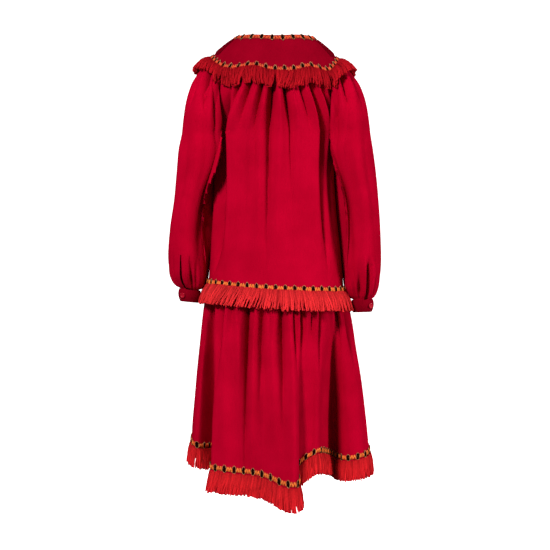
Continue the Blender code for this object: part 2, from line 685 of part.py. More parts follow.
def make_yoke(generator):
    braid = BRAID_HEIGHT / YOKE_LENGTH
    heading = HEADING_HEIGHT / YOKE_LENGTH
    edge = 1 - SEAM_TRIM / YOKE_LENGTH
    neck_band = [NECK_HEM, NECK_HEM + braid * 0.95]
    seam_band = [edge - heading - braid, edge - heading - LAY_GAP * 1.5 / YOKE_LENGTH]
    rows = [0, *neck_band, *YOKE_ROWS, *seam_band, edge]
    right = spread(yoke, 0, 90, YOKE_COLUMNS // 4, (0.0, 1.0), 0.02)
    front = spread(yoke, 90, 180, YOKE_COLUMNS // 4, (0.0, 1.0), 0.02)[1:]
    ring = np.concatenate([right, front, 360 - front[::-1][1:], 360 - right[::-1]])
    trim = SIDE_TRIM["yoke"]
    back = np.concatenate([[-90 + trim], right[::-1][1:-1] * -1, right[:-1], [90 - trim]])
    fore = np.concatenate([[90 + trim], front[:-1], 360 - front[::-1][:-1], [270 - trim]])
    sheet_from("yoke_back", yoke, back, rows, TURN_STEP)
    sheet_from("yoke_front", yoke, fore, rows, TURN_STEP)
    strip_on("neck_braid", yoke, ring, neck_band, TURN_STEP, BRAID_THICKNESS, "braid", True)
    strip_on("yoke_braid", yoke, ring, seam_band, TURN_STEP, BRAID_THICKNESS, "braid", True)

    def direction(angle):
        """From the yoke's edge over the gathered cloth that hangs from it."""
        turned = np.mod(angle + 180, 360) - 180
        below = cloth_below_yoke(turned, 0.30)
        normals = surface_normals(yoke, angle, np.full(angle.shape, 1.0), TURN_STEP)
        root = yoke_edge(angle)
        at_shoulder = np.abs(np.sin(np.radians(angle))) ** 8
        rise = FRINGE_RISE + (SHOULDER_RISE - FRINGE_RISE) * at_shoulder
        way = unit(below + normals * rise[..., None] - root)
        return way * (1 + (SHOULDER_REACH - 1) * at_shoulder)[..., None]

    band = [edge - heading, edge]
    fringe_on("yoke_fringe", yoke, ring, band, TURN_STEP, direction, YOKE_FRINGE, generator)
    for side in SIDE:
        middle = 90.0 if side == "right" else 270.0
        across = [middle - 4.5, middle, middle + 4.5]
        along = [neck_band[1] + 0.03, *YOKE_ROWS, seam_band[0] - 0.02]
        strip_on("shoulder_band_" + side, yoke, across, along, TURN_STEP, BAND_THICKNESS, "cloth")


def make_bodice():
    top = SEAM_TRIM / BODICE_TOP_LENGTH
    edge = 2 - SEAM_TRIM / BODICE_LENGTH
    band = [edge - BRAID_HEIGHT / BODICE_LENGTH, edge]
    rows = [top, *BODICE_ROWS, *band]
    ring = []
    for half, middle in (("back", 0), ("front", 180)):

        def surface(angle, along, half=half):
            return folded_bodice(half, angle, along)

        heights = (0.3, 1.0, 1.9)
        across = spread(surface, middle - 90, middle + 90, BODICE_COLUMNS, heights, 0.03)
        ring.extend(across[:-1])
        across[0] += SIDE_TRIM["bodice"]
        across[-1] -= SIDE_TRIM["bodice"]

        def seam_angle(angle, half=half, middle=middle):
            return middle + (angle - middle) * raglan_angle(half, 0) / 90

        sheet_from("bodice_" + half, surface, across, rows, TURN_STEP, seam_angle)

    def lower(angle, along):
        return folded_bodice("back", angle, along)

    ring = np.array([*ring, 270.0])
    strip_on("waist_braid", lower, ring, band, TURN_STEP, BRAID_THICKNESS, "braid", True)


def make_skirt(generator):
    top = SEAM_TRIM / SKIRT_LENGTH
    heading = HEADING_HEIGHT / SKIRT_LENGTH
    braid = BRAID_HEIGHT / SKIRT_LENGTH
    waist_band = [top, top + heading]
    braid_band = [1 - 0.57 * braid, 1 + 0.43 * braid]
    apart = 2 * LAY_GAP / SKIRT_LENGTH
    fringe_band = [braid_band[1] + apart, braid_band[1] + apart + heading]
    rows = [*waist_band, *SKIRT_ROWS, *braid_band, *fringe_band]

    def columns(first, last):
        return spread(folded_skirt, first, last, SKIRT_COLUMNS, (0.15, 0.5, 1.0), 0.035)

    back = columns(-90, 90)
    fore = columns(90, 270)
    ring = np.concatenate([back, fore[1:]])
    for name, across in (("skirt_back", back), ("skirt_front", fore)):
        across = across.copy()
        across[0] += SIDE_TRIM["skirt"]
        across[-1] -= SIDE_TRIM["skirt"]
        sheet_from(name, folded_skirt, across, rows, SKIRT_STEP)
    strip_on("hem_braid", folded_skirt, ring, braid_band, SKIRT_STEP, BRAID_THICKNESS, "braid", True)

    def waist_out(angle):
        """Less at the sides, where the cuffs hang."""
        beside = np.abs(np.abs(np.mod(angle + 180, 360) - 180) - 90)
        return 0.46 - 0.20 * np.exp(-((beside / 20) ** 2))

    def hem_out(angle):
        return np.full(angle.shape, 0.10)

    for name, band, down, outwards, length in (
        ("waist_fringe", waist_band, 0.0, waist_out, WAIST_FRINGE),
        ("hem_fringe", fringe_band, 1.0, hem_out, HEM_FRINGE),
    ):
        way = down_and_out(skirt, down, TURN_STEP, outwards)
        fringe_on(name, folded_skirt, ring, band, SKIRT_STEP, way, length, generator)


def make_sleeve(side):
    slit = SLIT_PLACE[side]

    def surface(around, along):
        return folded_sleeve(side, around, along)

    heights = (0.4, 1.4)
    count = round(SLEEVE_COLUMNS * slit)
    before = spread(surface, 0.0, slit - SLIT_SHARE, count, heights, 0.02)
    after = spread(surface, slit + SLIT_SHARE, 1.0, SLEEVE_COLUMNS - count, heights, 0.02)
    across = np.concatenate([before, after])
    slit_column = len(before) - 1
    rows = [*SLEEVE_ROWS, *SLIT_ROWS]
    open_rows = rows.index(1.0)

    def trimmed(around, along):
        """Pulls the open edges back a little above the underarm."""
        trim = RAGLAN_TRIM * (along < 0.999)
        return surface(trim + around * (1 - 2 * trim), along)

    def skip(row, column):
        return side == "left" and column == slit_column and rows[row] >= 1 + SLIT_TOP - 1e-9

    def closed(row):
        return row >= open_rows

    step = AROUND_STEP * SIDE[side]

    def seam_angle(around):
        start = RAGLAN_ANGLE["back"]
        return SIDE[side] * (start + (RAGLAN_ANGLE["front"] - start) * around)

    sheet_from("sleeve_" + side, trimmed, across, rows, step, seam_angle, closed, skip)
    columns = before[-3:-1] if side == "left" else after[:4]
    strip_on("placket_" + side, surface, columns, SLIT_ROWS[:-1], step, BAND_THICKNESS, "cloth")


def cuff(side, around, along):
    """A cuff wound once round the wrist and past its own start, which it laps over."""
    top = cuff_top_z(side)
    turn = SLIT_PLACE[side] + np.asarray(around)
    place = sleeve_section(side, np.mod(turn, 1), np.full(turn.shape, top))
    section = SLEEVE_SECTIONS[side][0]
    centre = np.array([SIDE[side] * (section.outer + section.inner) / 2, section.middle_y])
    lap = smooth_step((around - 1 + 2 * CUFF_LAP) / (2 * CUFF_LAP)) * (WALL + 3 * LAY_GAP)
    out = unit(place[..., :2] - centre)
    place[..., :2] += out * lap[..., None]
    place[..., 2] = top - CUFF_HEIGHT * along
    return place


def make_cuff(side):
    def surface(around, along):
        return cuff(side, around, along)

    across = spread(surface, 0, 1 + CUFF_LAP, CUFF_COLUMNS, (0.5,), 0.004)
    step = AROUND_STEP * SIDE[side]
    sheet_from("cuff_" + side, surface, across, [0, 0.5, 1], step)
    middle = np.array([1 + CUFF_LAP * 0.45])
    half = np.array([0.5])
    place = surface(middle, half)[0]
    normal = surface_normals(surface, middle, half, step)[0]
    bpy.ops.mesh.primitive_cylinder_add(vertices=16, radius=BUTTON_RADIUS, depth=BUTTON_THICKNESS)
    button = bpy.context.object
    button.name = "cuff_button_" + side
    button.location = place + normal * (BUTTON_THICKNESS / 2 + BUTTON_LIFT)
    button.rotation_mode = "QUATERNION"
    button.rotation_quaternion = Vector(normal).to_track_quat("Z", "Y")
    bevel = button.modifiers.new("rim", "BEVEL")
    bevel.width = 0.0008
    bevel.segments = 1
    material = bpy.data.materials.new(button.name)
    material.use_nodes = True
    shader = material.node_tree.nodes["Principled BSDF"]
    shader.inputs["Base Color"].default_value = COLOURS["button"][0]
    shader.inputs["Roughness"].default_value = COLOURS["button"][1]
    button.data.materials.append(material)
    for group in list(button.users_collection):
        group.objects.unlink(button)
    bpy.data.collections["folk_dress"].objects.link(button)


def main():
    clear_scene()
    collection = bpy.data.collections.new("folk_dress")
    bpy.context.scene.collection.children.link(collection)
    generator = np.random.default_rng(SEED)
    make_yoke(generator)
    make_bodice()
    make_skirt(generator)
    for side in SIDE:
        make_sleeve(side)
        make_cuff(side)


main()
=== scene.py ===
"""The looks of a crimson folk dress of wool crepe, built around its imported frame.

Units are metres, +Z is up, the back faces -Y and the wearer's right is +X. Angles round the body run in
degrees from the centre back (0) over the wearer's right side (90) to the centre front (180). Each piece of
cloth is a surface function of a place across it and a place along it, which creases then pull in. Braid,
fringe and stitches are guide lines on those surfaces, and Geometry Nodes turn them into round yarns.
"""

from __future__ import annotations

import json
import logging
import math
from dataclasses import dataclass, field
from enum import Enum
from functools import cached_property, partial
from typing import Callable, NamedTuple, Sequence

import bmesh
import bpy
import numpy as np
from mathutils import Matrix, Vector

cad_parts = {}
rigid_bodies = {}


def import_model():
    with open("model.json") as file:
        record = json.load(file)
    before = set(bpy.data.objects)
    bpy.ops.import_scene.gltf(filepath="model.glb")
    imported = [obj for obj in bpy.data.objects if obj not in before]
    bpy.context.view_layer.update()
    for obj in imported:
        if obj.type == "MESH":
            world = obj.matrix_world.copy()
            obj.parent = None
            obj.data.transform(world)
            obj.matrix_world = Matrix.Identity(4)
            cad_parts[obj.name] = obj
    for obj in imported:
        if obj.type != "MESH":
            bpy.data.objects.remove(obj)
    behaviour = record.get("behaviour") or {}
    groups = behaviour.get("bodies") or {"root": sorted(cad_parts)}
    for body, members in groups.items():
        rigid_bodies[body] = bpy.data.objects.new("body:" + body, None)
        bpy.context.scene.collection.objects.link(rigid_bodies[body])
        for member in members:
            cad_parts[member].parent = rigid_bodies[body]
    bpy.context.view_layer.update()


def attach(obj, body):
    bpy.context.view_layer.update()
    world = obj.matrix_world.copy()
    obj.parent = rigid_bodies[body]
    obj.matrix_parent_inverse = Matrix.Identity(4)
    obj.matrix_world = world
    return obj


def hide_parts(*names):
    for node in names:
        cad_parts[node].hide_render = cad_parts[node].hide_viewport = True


LOG = logging.getLogger("folk_dress")

Array = np.ndarray
Surface = Callable[[Array, Array], Array]
Socket = bpy.types.NodeSocket
Colour = tuple[float, float, float]

# Driving sizes, as in the part's source
WALL = 0.002
LAY_GAP = 0.0004
BRAID_HEIGHT = 0.014
HEADING_HEIGHT = 0.005
SHOULDER_RISE = 0.025
FRINGE_RISE = 0.010
CUFF_HEIGHT = 0.031
CUFF_LAP = 0.10
BUTTON_RADIUS = 0.0065
BUTTON_THICKNESS = 0.003
UNDERARM_Z = -0.215
BODICE_FULLNESS = 0.05
SLEEVE_CLEARANCE = 0.0020
FRINGE_CLEARANCE = 0.0015
FRINGE_CLEAR_Z = -0.54
BODY_FLATTEN = 0.15
YOKE_BULGE = 0.004
NECK_HEM = 0.02
SLIT_TOP = 0.78
SLIT_HALF_WIDTH = 0.0038
SLIT_SHARE = 0.004
RAGLAN_TRIM = 0.0012

# How far the foot of a sleeve lies inside its cuff, and how far down into it as a share of the lower sleeve
SLEEVE_TUCK = 0.0026
SLEEVE_FOOT = 2.012

# Lengths of the pieces, from which a distance along one becomes a share of it
YOKE_LENGTH = 0.095
BODICE_LENGTH = 0.3735
SKIRT_LENGTH = 0.43

# Steps from which the surfaces' normals are measured, in degrees and as a share of a sleeve
TURN_STEP = 0.4
AROUND_STEP = 0.002

# How much higher the hem hangs than the solid's, and how much lower the waist lies at the back
HEM_LIFT = 0.008
WAIST_DROP = 0.005

# The dropped waist's height, and how much lower it lies on the wearer's right
WAIST_Z = -0.5885
WAIST_SLOPE = 0.0100

# A braid's black oval: its columns of stitches and their pitch, half its height and width, and its clear half
OVAL_COLUMNS = 5
OVAL_PITCH = 0.00125
OVAL_HEIGHT = 0.0078
OVAL_WIDTH = 0.0039
OVAL_CLEAR = 0.0049

# The studio's lights: name, place, size and power
LIGHTS = (
    ("key", (-1.4, -2.9, 0.9), 0.6, 138),
    ("fill", (3.0, -1.1, -0.3), 0.9, 82),
    ("top", (0.0, -0.5, 2.2), 1.2, 16),
    ("far_key", (1.4, 2.9, 0.9), 0.6, 120),
    ("far_fill", (-2.5, 2.1, -0.2), 0.9, 26),
)

# How much lower the yoke's edge lies at the back, by its place across
YOKE_SAG = (
    (-0.170, 0.0040), (-0.149, 0.0050), (-0.123, 0.0085), (-0.100, 0.0104), (-0.073, 0.0064), (-0.048, 0.0040),
    (-0.025, 0.0087), (-0.004, 0.0120), (0.020, 0.0129), (0.042, 0.0148), (0.063, 0.0107), (0.086, 0.0055),
    (0.108, 0.0096), (0.135, 0.0166), (0.152, 0.0146), (0.170, 0.0100),
)

# How far the waist's braid stands off the seam that it covers
WAIST_CLEARANCE = 0.0022

# The longer reach of the hem's fringe at the back panel's corner: by how much, and its middle and width in degrees
CORNER_FRINGE = (0.16, 13.0, 8.0)

# The photograph's frame
FRAME_WIDTH = 1.375
CAMERA_DISTANCE = 3.0
CAMERA_HEIGHT = -0.5625
SENSOR = 36.0

# How much a cuff bulges in its middle, and how much narrower its foot is than its seam
CUFF_BULGE = 0.0026
CUFF_TAPER = 0.0030

# The braids' ground, and the turns of a yarn's plies in a metre
TAPE_HEIGHT = 0.0104
TAPE_THICKNESS = 0.0010
PLY_TURNS = 330.0

# How many rounds bring a point to a wall's own angle
SETTLING_ROUNDS = 5


class SleeveSection(NamedTuple):
    """Reach of a sleeve from the body's middle plane at a height."""

    z: float
    outer: float
    inner: float
    middle_y: float
    half_depth: float


class Crease(NamedTuple):
    """A trough in the cloth: where it starts and ends across, its depth and half-width, and its run."""

    top: float
    foot: float
    depth: float
    width: float
    begins: float
    full: float
    fades: float


class Side(Enum):
    """A side of the dress, as its wearer names it."""

    LEFT = "left"
    RIGHT = "right"

    @property
    def sign(self) -> int:
        """The sign of X on this side."""
        return -1 if self is Side.LEFT else 1


class Half(Enum):
    """The back or the front half of a piece, by its middle angle."""

    BACK = 0.0
    FRONT = 180.0

    @property
    def word(self) -> str:
        """The half's word in a piece's name."""
        return self.name.lower()


RAGLAN_ANGLE = {Half.BACK: 49.0, Half.FRONT: 131.0}
SLIT_PLACE = {Side.LEFT: 0.345, Side.RIGHT: 0.370}

# How much lower a wrist lies on the body's side than on its outer side, per metre across
CUFF_TILT = {Side.LEFT: 0.10, Side.RIGHT: 0.04}

# Closed edges round the body: angle, x, y, z
NECK_EDGE = (
    (0, 0, -0.076, 0.0225), (48, 0.07, -0.058, 0.0265), (90, 0.094, -0.004, 0.0265),
    (135, 0.07, 0.062, -0.006), (180, 0, 0.092, -0.036), (225, -0.07, 0.062, -0.006),
    (270, -0.094, -0.004, 0.0275), (312, -0.07, -0.058, 0.027),
)
YOKE_EDGE = (
    (0, 0, -0.135, -0.066), (25, 0.066, -0.127, -0.062), (49, 0.124, -0.1, -0.06),
    (70, 0.151, -0.052, -0.043), (90, 0.162, 0, -0.027), (112, 0.152, 0.066, -0.046),
    (131, 0.126, 0.106, -0.08), (180, 0, 0.14, -0.13), (229, -0.126, 0.106, -0.078),
    (248, -0.152, 0.066, -0.042), (270, -0.163, 0, -0.0225), (290, -0.151, -0.052, -0.04),
    (311, -0.124, -0.1, -0.057), (335, -0.066, -0.127, -0.061),
)
HEM_EDGE = (
    (0, -0.012, -0.184, -1.045), (9, 0.025, -0.196, -1.059), (15, 0.049, -0.199, -1.06),
    (19, 0.056, -0.182, -1.054), (24, 0.047, -0.158, -1.031), (30, 0.063, -0.148, -1.0111),
    (36, 0.084, -0.145, -0.9974), (44, 0.107, -0.136, -0.9888), (54, 0.144, -0.006, -1.016),
    (63, 0.172, -0.056, -1.019), (76, 0.217, -0.052, -1.012), (90, 0.236, 0.012, -1.006),
    (106, 0.221, 0.082, -1.007), (120, 0.172, 0.106, -1.015), (133, 0.142, 0.158, -1.022),
    (147, 0.098, 0.186, -1.027), (160, 0.06, 0.158, -1.025), (173, 0.024, 0.152, -1.023),
    (187, -0.022, 0.192, -1.029), (201, -0.07, 0.198, -1.027), (215, -0.108, 0.16, -1.019),
    (229, -0.138, 0.15, -1.015), (244, -0.18, 0.15, -1.005), (258, -0.207, 0.104, -0.984),
    (271, -0.209, 0.02, -0.985), (283, -0.19, -0.014, -0.995), (294, -0.14, 0.036, -1.006),
    (301, -0.148, -0.118, -1.021), (306, -0.152, -0.146, -1.026), (314, -0.134, -0.16, -1.028),
    (330, -0.084, -0.17, -1.033), (346, -0.048, -0.172, -1.036),
)

# The body at a height: z, its half-widths left and right, its half-depths back and front
BODY_SECTIONS = (
    (-0.6, 0.168, 0.172, 0.136, 0.143), (-0.5, 0.159, 0.162, 0.13, 0.138),
    (-0.4, 0.15, 0.152, 0.126, 0.136), (-0.3, 0.147, 0.147, 0.128, 0.139),
    (-0.215, 0.149, 0.149, 0.131, 0.142),
)

# The seam between body and sleeve: share of the way down to the underarm, angle from the middle of its half
RAGLAN_SEAM = {
    Half.BACK: ((0, 49), (0.2, 53), (0.5, 66), (0.8, 81), (1, 90)),
    Half.FRONT: ((0, 49), (0.2, 52), (0.5, 62), (0.8, 78), (1, 90)),
}
SLEEVE_SECTIONS = {
    Side.LEFT: [SleeveSection(*row) for row in (
        (-0.5985, 0.239, 0.186, -0.012, 0.03), (-0.59, 0.25, 0.1735, -0.012, 0.04),
        (-0.575, 0.259, 0.165, -0.013, 0.052), (-0.54, 0.264, 0.157, -0.015, 0.064),
        (-0.45, 0.26, 0.148, -0.018, 0.07), (-0.375, 0.249, 0.135, -0.024, 0.078),
        (-0.3, 0.241, 0.11, -0.03, 0.085), (-0.25, 0.236, 0.108, -0.03, 0.086),
        (-0.215, 0.229, 0.118, -0.026, 0.084),
    )],
    Side.RIGHT: [SleeveSection(*row) for row in (
        (-0.6235, 0.244, 0.191, -0.012, 0.029), (-0.615, 0.25, 0.18, -0.012, 0.038),
        (-0.6, 0.256, 0.169, -0.013, 0.049), (-0.565, 0.261, 0.16, -0.015, 0.062),
        (-0.46, 0.261, 0.146, -0.018, 0.07), (-0.36, 0.254, 0.13, -0.024, 0.078),
        (-0.3, 0.247, 0.116, -0.028, 0.083), (-0.25, 0.24, 0.114, -0.028, 0.084),
        (-0.215, 0.235, 0.122, -0.024, 0.082),
    )],
}

# Troughs of the gathered bodice, by angle round the body; the back's follow the photograph
BODICE_CREASES = [Crease(*row) for row in (
    (-66, -66, 0.028, 9, 0.2, 1, 2.6), (-54, -58, 0.005, 4.2, 0.02, 0.25, 0.9),
    (-38, -36, 0.009, 4, 0.02, 0.18, 1.1), (-19, -20, 0.01, 3.8, 0.02, 0.18, 1.4),
    (-3, -9, 0.017, 5, 0.02, 0.25, 2.2), (14, 16, 0.015, 4.4, 0.02, 0.22, 1.7),
    (38, 35, 0.009, 4.2, 0.02, 0.2, 1.2), (56, 49, 0.018, 4.6, 0.02, 0.35, 2.6),
    (73, 70, 0.007, 4.2, 0.02, 0.25, 1.3), (112, 116, 0.007, 5, 0.02, 0.3, 1),
    (131, 133, 0.009, 5, 0.02, 0.3, 1.5), (150, 148, 0.007, 4.5, 0.02, 0.25, 1.2),
    (169, 168, 0.006, 4.2, 0.02, 0.25, 1), (187, 188, 0.006, 4.2, 0.02, 0.25, 1.1),
    (205, 208, 0.008, 4.5, 0.02, 0.25, 1.4), (225, 229, 0.009, 5, 0.02, 0.3, 1.5),
    (246, 244, 0.007, 5, 0.02, 0.3, 1),
)]
SKIRT_CREASES = [Crease(*row) for row in (
    (-84, -80, 0.008, 3.4, 0.02, 0.12, 0.5), (-68, -64, 0.007, 3.2, 0.02, 0.12, 0.4),
    (-50, -55, 0.016, 3.8, 0.02, 0.14, 0.75), (-38, -38, 0.004, 3, 0.02, 0.12, 0.3),
    (-24, -25, 0.015, 3.9, 0.02, 0.14, 1.2), (-10, -11, 0.009, 3.2, 0.02, 0.12, 0.75),
    (5, 8, 0.012, 3.4, 0.02, 0.12, 0.95), (16, 18, 0.009, 2.8, 0.02, 0.12, 0.5),
    (25, 25, 0.008, 2.6, 0.02, 0.12, 0.42), (34, 34, 0.007, 2.6, 0.02, 0.12, 0.35),
    (43, 43, 0.011, 3, 0.02, 0.12, 0.6), (58, 62, 0.009, 3.2, 0.02, 0.12, 0.4),
    (73, 78, 0.01, 3.2, 0.02, 0.12, 0.55), (98, 98, 0.009, 3.4, 0.02, 0.12, 0.45),
    (112, 114, 0.012, 3.4, 0.02, 0.12, 0.6), (127, 126, 0.008, 3.2, 0.02, 0.12, 0.45),
    (142, 141, 0.01, 3.2, 0.02, 0.12, 0.5), (157, 160, 0.012, 3.4, 0.02, 0.12, 0.65),
    (172, 173, 0.008, 3, 0.02, 0.12, 0.45), (186, 186, 0.009, 3, 0.02, 0.12, 0.45),
    (201, 200, 0.01, 3.2, 0.02, 0.12, 0.5), (216, 218, 0.012, 3.4, 0.02, 0.12, 0.6),
    (231, 230, 0.008, 3.2, 0.02, 0.12, 0.45), (246, 247, 0.01, 3.4, 0.02, 0.12, 0.5),
    (260, 260, 0.008, 3.2, 0.02, 0.12, 0.45),
)]
SLEEVE_CREASES = [Crease(*row) for row in (
    (0.085, 0.06, 0.015, 0.045, 0.12, 0.6, 2.8), (0.17, 0.21, 0.009, 0.03, 0.04, 0.4, 1.4),
    (0.3, 0.29, 0.011, 0.03, 0.02, 0.22, 1), (0.42, 0.43, 0.007, 0.03, 0.04, 0.35, 0.9),
    (0.56, 0.56, 0.007, 0.03, 0.04, 0.35, 1), (0.7, 0.69, 0.008, 0.032, 0.04, 0.35, 1.1),
    (0.84, 0.8, 0.008, 0.034, 0.04, 0.45, 1.2), (0.28, 0.27, 0.007, 0.028, 1.8, 1.95, 2.02),
    (0.48, 0.48, 0.006, 0.028, 1.74, 1.95, 2.02), (0.6, 0.6, 0.006, 0.028, 1.7, 1.95, 2.02),
    (0.72, 0.73, 0.006, 0.028, 1.68, 1.95, 2.02),
)]

# The fold beside the flap over the right sleeve's slit
RIGHT_FLAP = [Crease(*row) for row in (
    (0.352, 0.352, 0.022, 0.016, 1.74, 1.84, 2.3), (0.462, 0.456, 0.012, 0.014, 1.74, 1.86, 2.3),
)]

# How much deeper the creases are than their tables say
MAIN_DEPTH = 2.25
FINE_DEPTH = 2.0

# The narrow valley in a main crease: its width in half-widths of the crease, and its share of the depth
VALLEY_WIDTH = 0.34
VALLEY_SHARE = 0.45

# Smaller and softer creases that only the cloth itself shows
BODICE_FINE = [Crease(*row) for row in (
    (-53, -56, 0.003, 2.6, 0.02, 0.12, 0.6), (-45, -47, 0.0022, 2.2, 0.02, 0.1, 0.45),
    (-28, -27, 0.003, 2.3, 0.02, 0.12, 0.55), (-11, -13, 0.0032, 2.2, 0.02, 0.12, 0.7),
    (5, 5, 0.0024, 2.1, 0.02, 0.1, 0.5), (21, 22, 0.003, 2.2, 0.02, 0.12, 0.6),
    (29, 28, 0.0034, 2.4, 0.02, 0.12, 0.8), (47, 42, 0.0034, 2.4, 0.02, 0.15, 0.9),
    (64, 58, 0.004, 2.6, 0.02, 0.2, 1), (-66, -62, 0.003, 8, 0.6, 1.2, 2.3),
    (-44, -46, 0.002, 7, 0.5, 1.3, 2.2), (-26, -24, 0.0024, 6, 0.7, 1.2, 2.1),
    (8, 11, 0.0022, 7, 0.4, 1.1, 2.2), (26, 24, 0.002, 6, 0.5, 1.2, 2.2),
    (62, 66, 0.004, 7, 0.8, 1.4, 2.4), (121, 124, 0.003, 2.6, 0.02, 0.15, 0.7),
    (141, 140, 0.0032, 2.4, 0.02, 0.12, 0.6), (160, 158, 0.003, 2.2, 0.02, 0.12, 0.7),
    (178, 179, 0.0034, 2.3, 0.02, 0.12, 0.6), (196, 199, 0.003, 2.3, 0.02, 0.12, 0.7),
    (215, 217, 0.0034, 2.5, 0.02, 0.12, 0.8), (236, 238, 0.003, 2.6, 0.02, 0.15, 0.6),
    (138, 144, 0.0026, 8, 0.5, 1.2, 2.3), (176, 172, 0.0022, 7, 0.5, 1.3, 2.2),
    (212, 220, 0.0028, 8, 0.5, 1.2, 2.3),
)]
SKIRT_FINE = [Crease(*row) for row in (
    (-76, -75, 0.004, 2, 0.01, 0.07, 0.26), (-60, -60, 0.0044, 1.9, 0.01, 0.07, 0.3),
    (-45, -46, 0.004, 1.8, 0.01, 0.06, 0.24), (-31, -31, 0.0046, 1.9, 0.01, 0.07, 0.3),
    (-17, -18, 0.0044, 1.8, 0.01, 0.07, 0.28), (-2, -3, 0.0046, 1.9, 0.01, 0.07, 0.34),
    (11, 12, 0.004, 1.6, 0.01, 0.06, 0.24), (21, 22, 0.004, 1.5, 0.01, 0.06, 0.22),
    (30, 30, 0.0042, 1.6, 0.01, 0.06, 0.26), (39, 39, 0.0042, 1.6, 0.01, 0.06, 0.24),
    (50, 51, 0.0046, 2, 0.01, 0.07, 0.32), (66, 68, 0.0042, 2, 0.01, 0.07, 0.28),
    (85, 86, 0.0044, 2.1, 0.01, 0.07, 0.28), (105, 105, 0.0042, 2, 0.01, 0.07, 0.26),
    (120, 121, 0.0046, 2, 0.01, 0.07, 0.3), (135, 134, 0.004, 1.8, 0.01, 0.06, 0.24),
    (150, 150, 0.0046, 2, 0.01, 0.07, 0.32), (165, 165, 0.0042, 1.8, 0.01, 0.07, 0.26),
    (179, 179, 0.0044, 1.8, 0.01, 0.07, 0.3), (194, 193, 0.004, 1.8, 0.01, 0.06, 0.24),
    (209, 209, 0.0046, 2, 0.01, 0.07, 0.3), (224, 224, 0.0042, 1.9, 0.01, 0.07, 0.26),
    (239, 239, 0.0044, 2, 0.01, 0.07, 0.3), (253, 254, 0.004, 2, 0.01, 0.07, 0.26),
    (-34, -30, 0.005, 6, 0.3, 0.6, 1.3), (-8, -6, 0.0045, 5, 0.25, 0.5, 1.1),
    (118, 122, 0.006, 6, 0.3, 0.6, 1.3), (152, 155, 0.005, 6, 0.3, 0.6, 1.2),
    (208, 210, 0.005, 6, 0.3, 0.6, 1.2),
)]
SLEEVE_FINE = [Crease(*row) for row in (
    (0.1, 0.12, 0.003, 0.018, 0.03, 0.2, 0.8), (0.22, 0.24, 0.003, 0.016, 0.03, 0.15, 0.6),
    (0.35, 0.36, 0.0028, 0.016, 0.03, 0.15, 0.55), (0.49, 0.49, 0.0028, 0.016, 0.03, 0.15, 0.5),
    (0.63, 0.62, 0.003, 0.016, 0.03, 0.15, 0.6), (0.77, 0.75, 0.003, 0.018, 0.03, 0.2, 0.8),
    (0.24, 0.32, 0.005, 0.05, 0.7, 1.2, 1.8), (0.46, 0.4, 0.004, 0.045, 0.8, 1.3, 1.9),
    (0.62, 0.66, 0.005, 0.05, 0.7, 1.25, 1.85), (0.8, 0.84, 0.004, 0.05, 0.9, 1.4, 1.95),
    (0.17, 0.16, 0.019, 0.105, 0.85, 1.45, 2.05), (0.22, 0.22, 0.0032, 0.014, 1.78, 1.95, 2.03),
    (0.42, 0.42, 0.0032, 0.014, 1.72, 1.95, 2.03), (0.54, 0.54, 0.0034, 0.014, 1.68, 1.95, 2.03),
    (0.66, 0.66, 0.0032, 0.014, 1.73, 1.95, 2.03), (0.79, 0.79, 0.0034, 0.015, 1.7, 1.95, 2.03),
)]


def spline(rows: Sequence[Sequence[float]], at: Array, period: float | None = None) -> Array:
    """Reads a smooth curve through a table.

    Args:
        rows: Rows of a key and its values.
        at: Where to read the curve.
        period: The key's period, for a closed curve.

    Returns:
        The values at each place, along a last axis.
    """
    table = np.array(sorted(rows), float)
    keys = table[:, 0]
    values = table[:, 1:]
    at = np.asarray(at, float)
    if period:
        keys = np.concatenate([keys[-2:] - period, keys, keys[:2] + period])
        values = np.concatenate([values[-2:], values, values[:2]])
        at = keys[2] + np.mod(at - keys[2], period)
    at = np.clip(at, keys[0], keys[-1])
    slopes = np.gradient(values, keys, axis=0)
    i = np.clip(np.searchsorted(keys, at, side="right") - 1, 0, len(keys) - 2)
    span = (keys[i + 1] - keys[i])[..., None]
    f = (at - keys[i])[..., None] / span
    return (
        values[i] * (1 + 2 * f) * (1 - f) ** 2
        + slopes[i] * span * f * (1 - f) ** 2
        + values[i + 1] * (3 - 2 * f) * f**2
        - slopes[i + 1] * span * (1 - f) * f**2
    )


def smooth_step(x: Array) -> Array:
    """Eases from 0 to 1 as x goes from 0 to 1."""
    x = np.clip(x, 0, 1)
    return x * x * (3 - 2 * x)


def unit(vectors: Array) -> Array:
    """Scales vectors along the last axis to a length of 1."""
    return vectors / np.maximum(np.linalg.norm(vectors, axis=-1, keepdims=True), 1e-12)


def mixed(first: Array, second: Array, share: Array) -> Array:
    """Points a share of the way from first to second."""
    return first + (second - first) * np.asarray(share)[..., None]


def surface_normals(surface: Surface, across: Array, along: Array, step: float, down: float = 1e-3) -> Array:
    """Measures a surface's normals, which point out of the dress.

    Args:
        surface: The surface.
        across: Places across it.
        along: Places along it.
        step: Half the step across, negative where the places run the other way round.
        down: Half the step along.

    Returns:
        Unit normals.
    """
    side = surface(across + step, along) - surface(across - step, along)
    drop = surface(across, along + down) - surface(across, along - down)
    return unit(np.cross(drop, side))


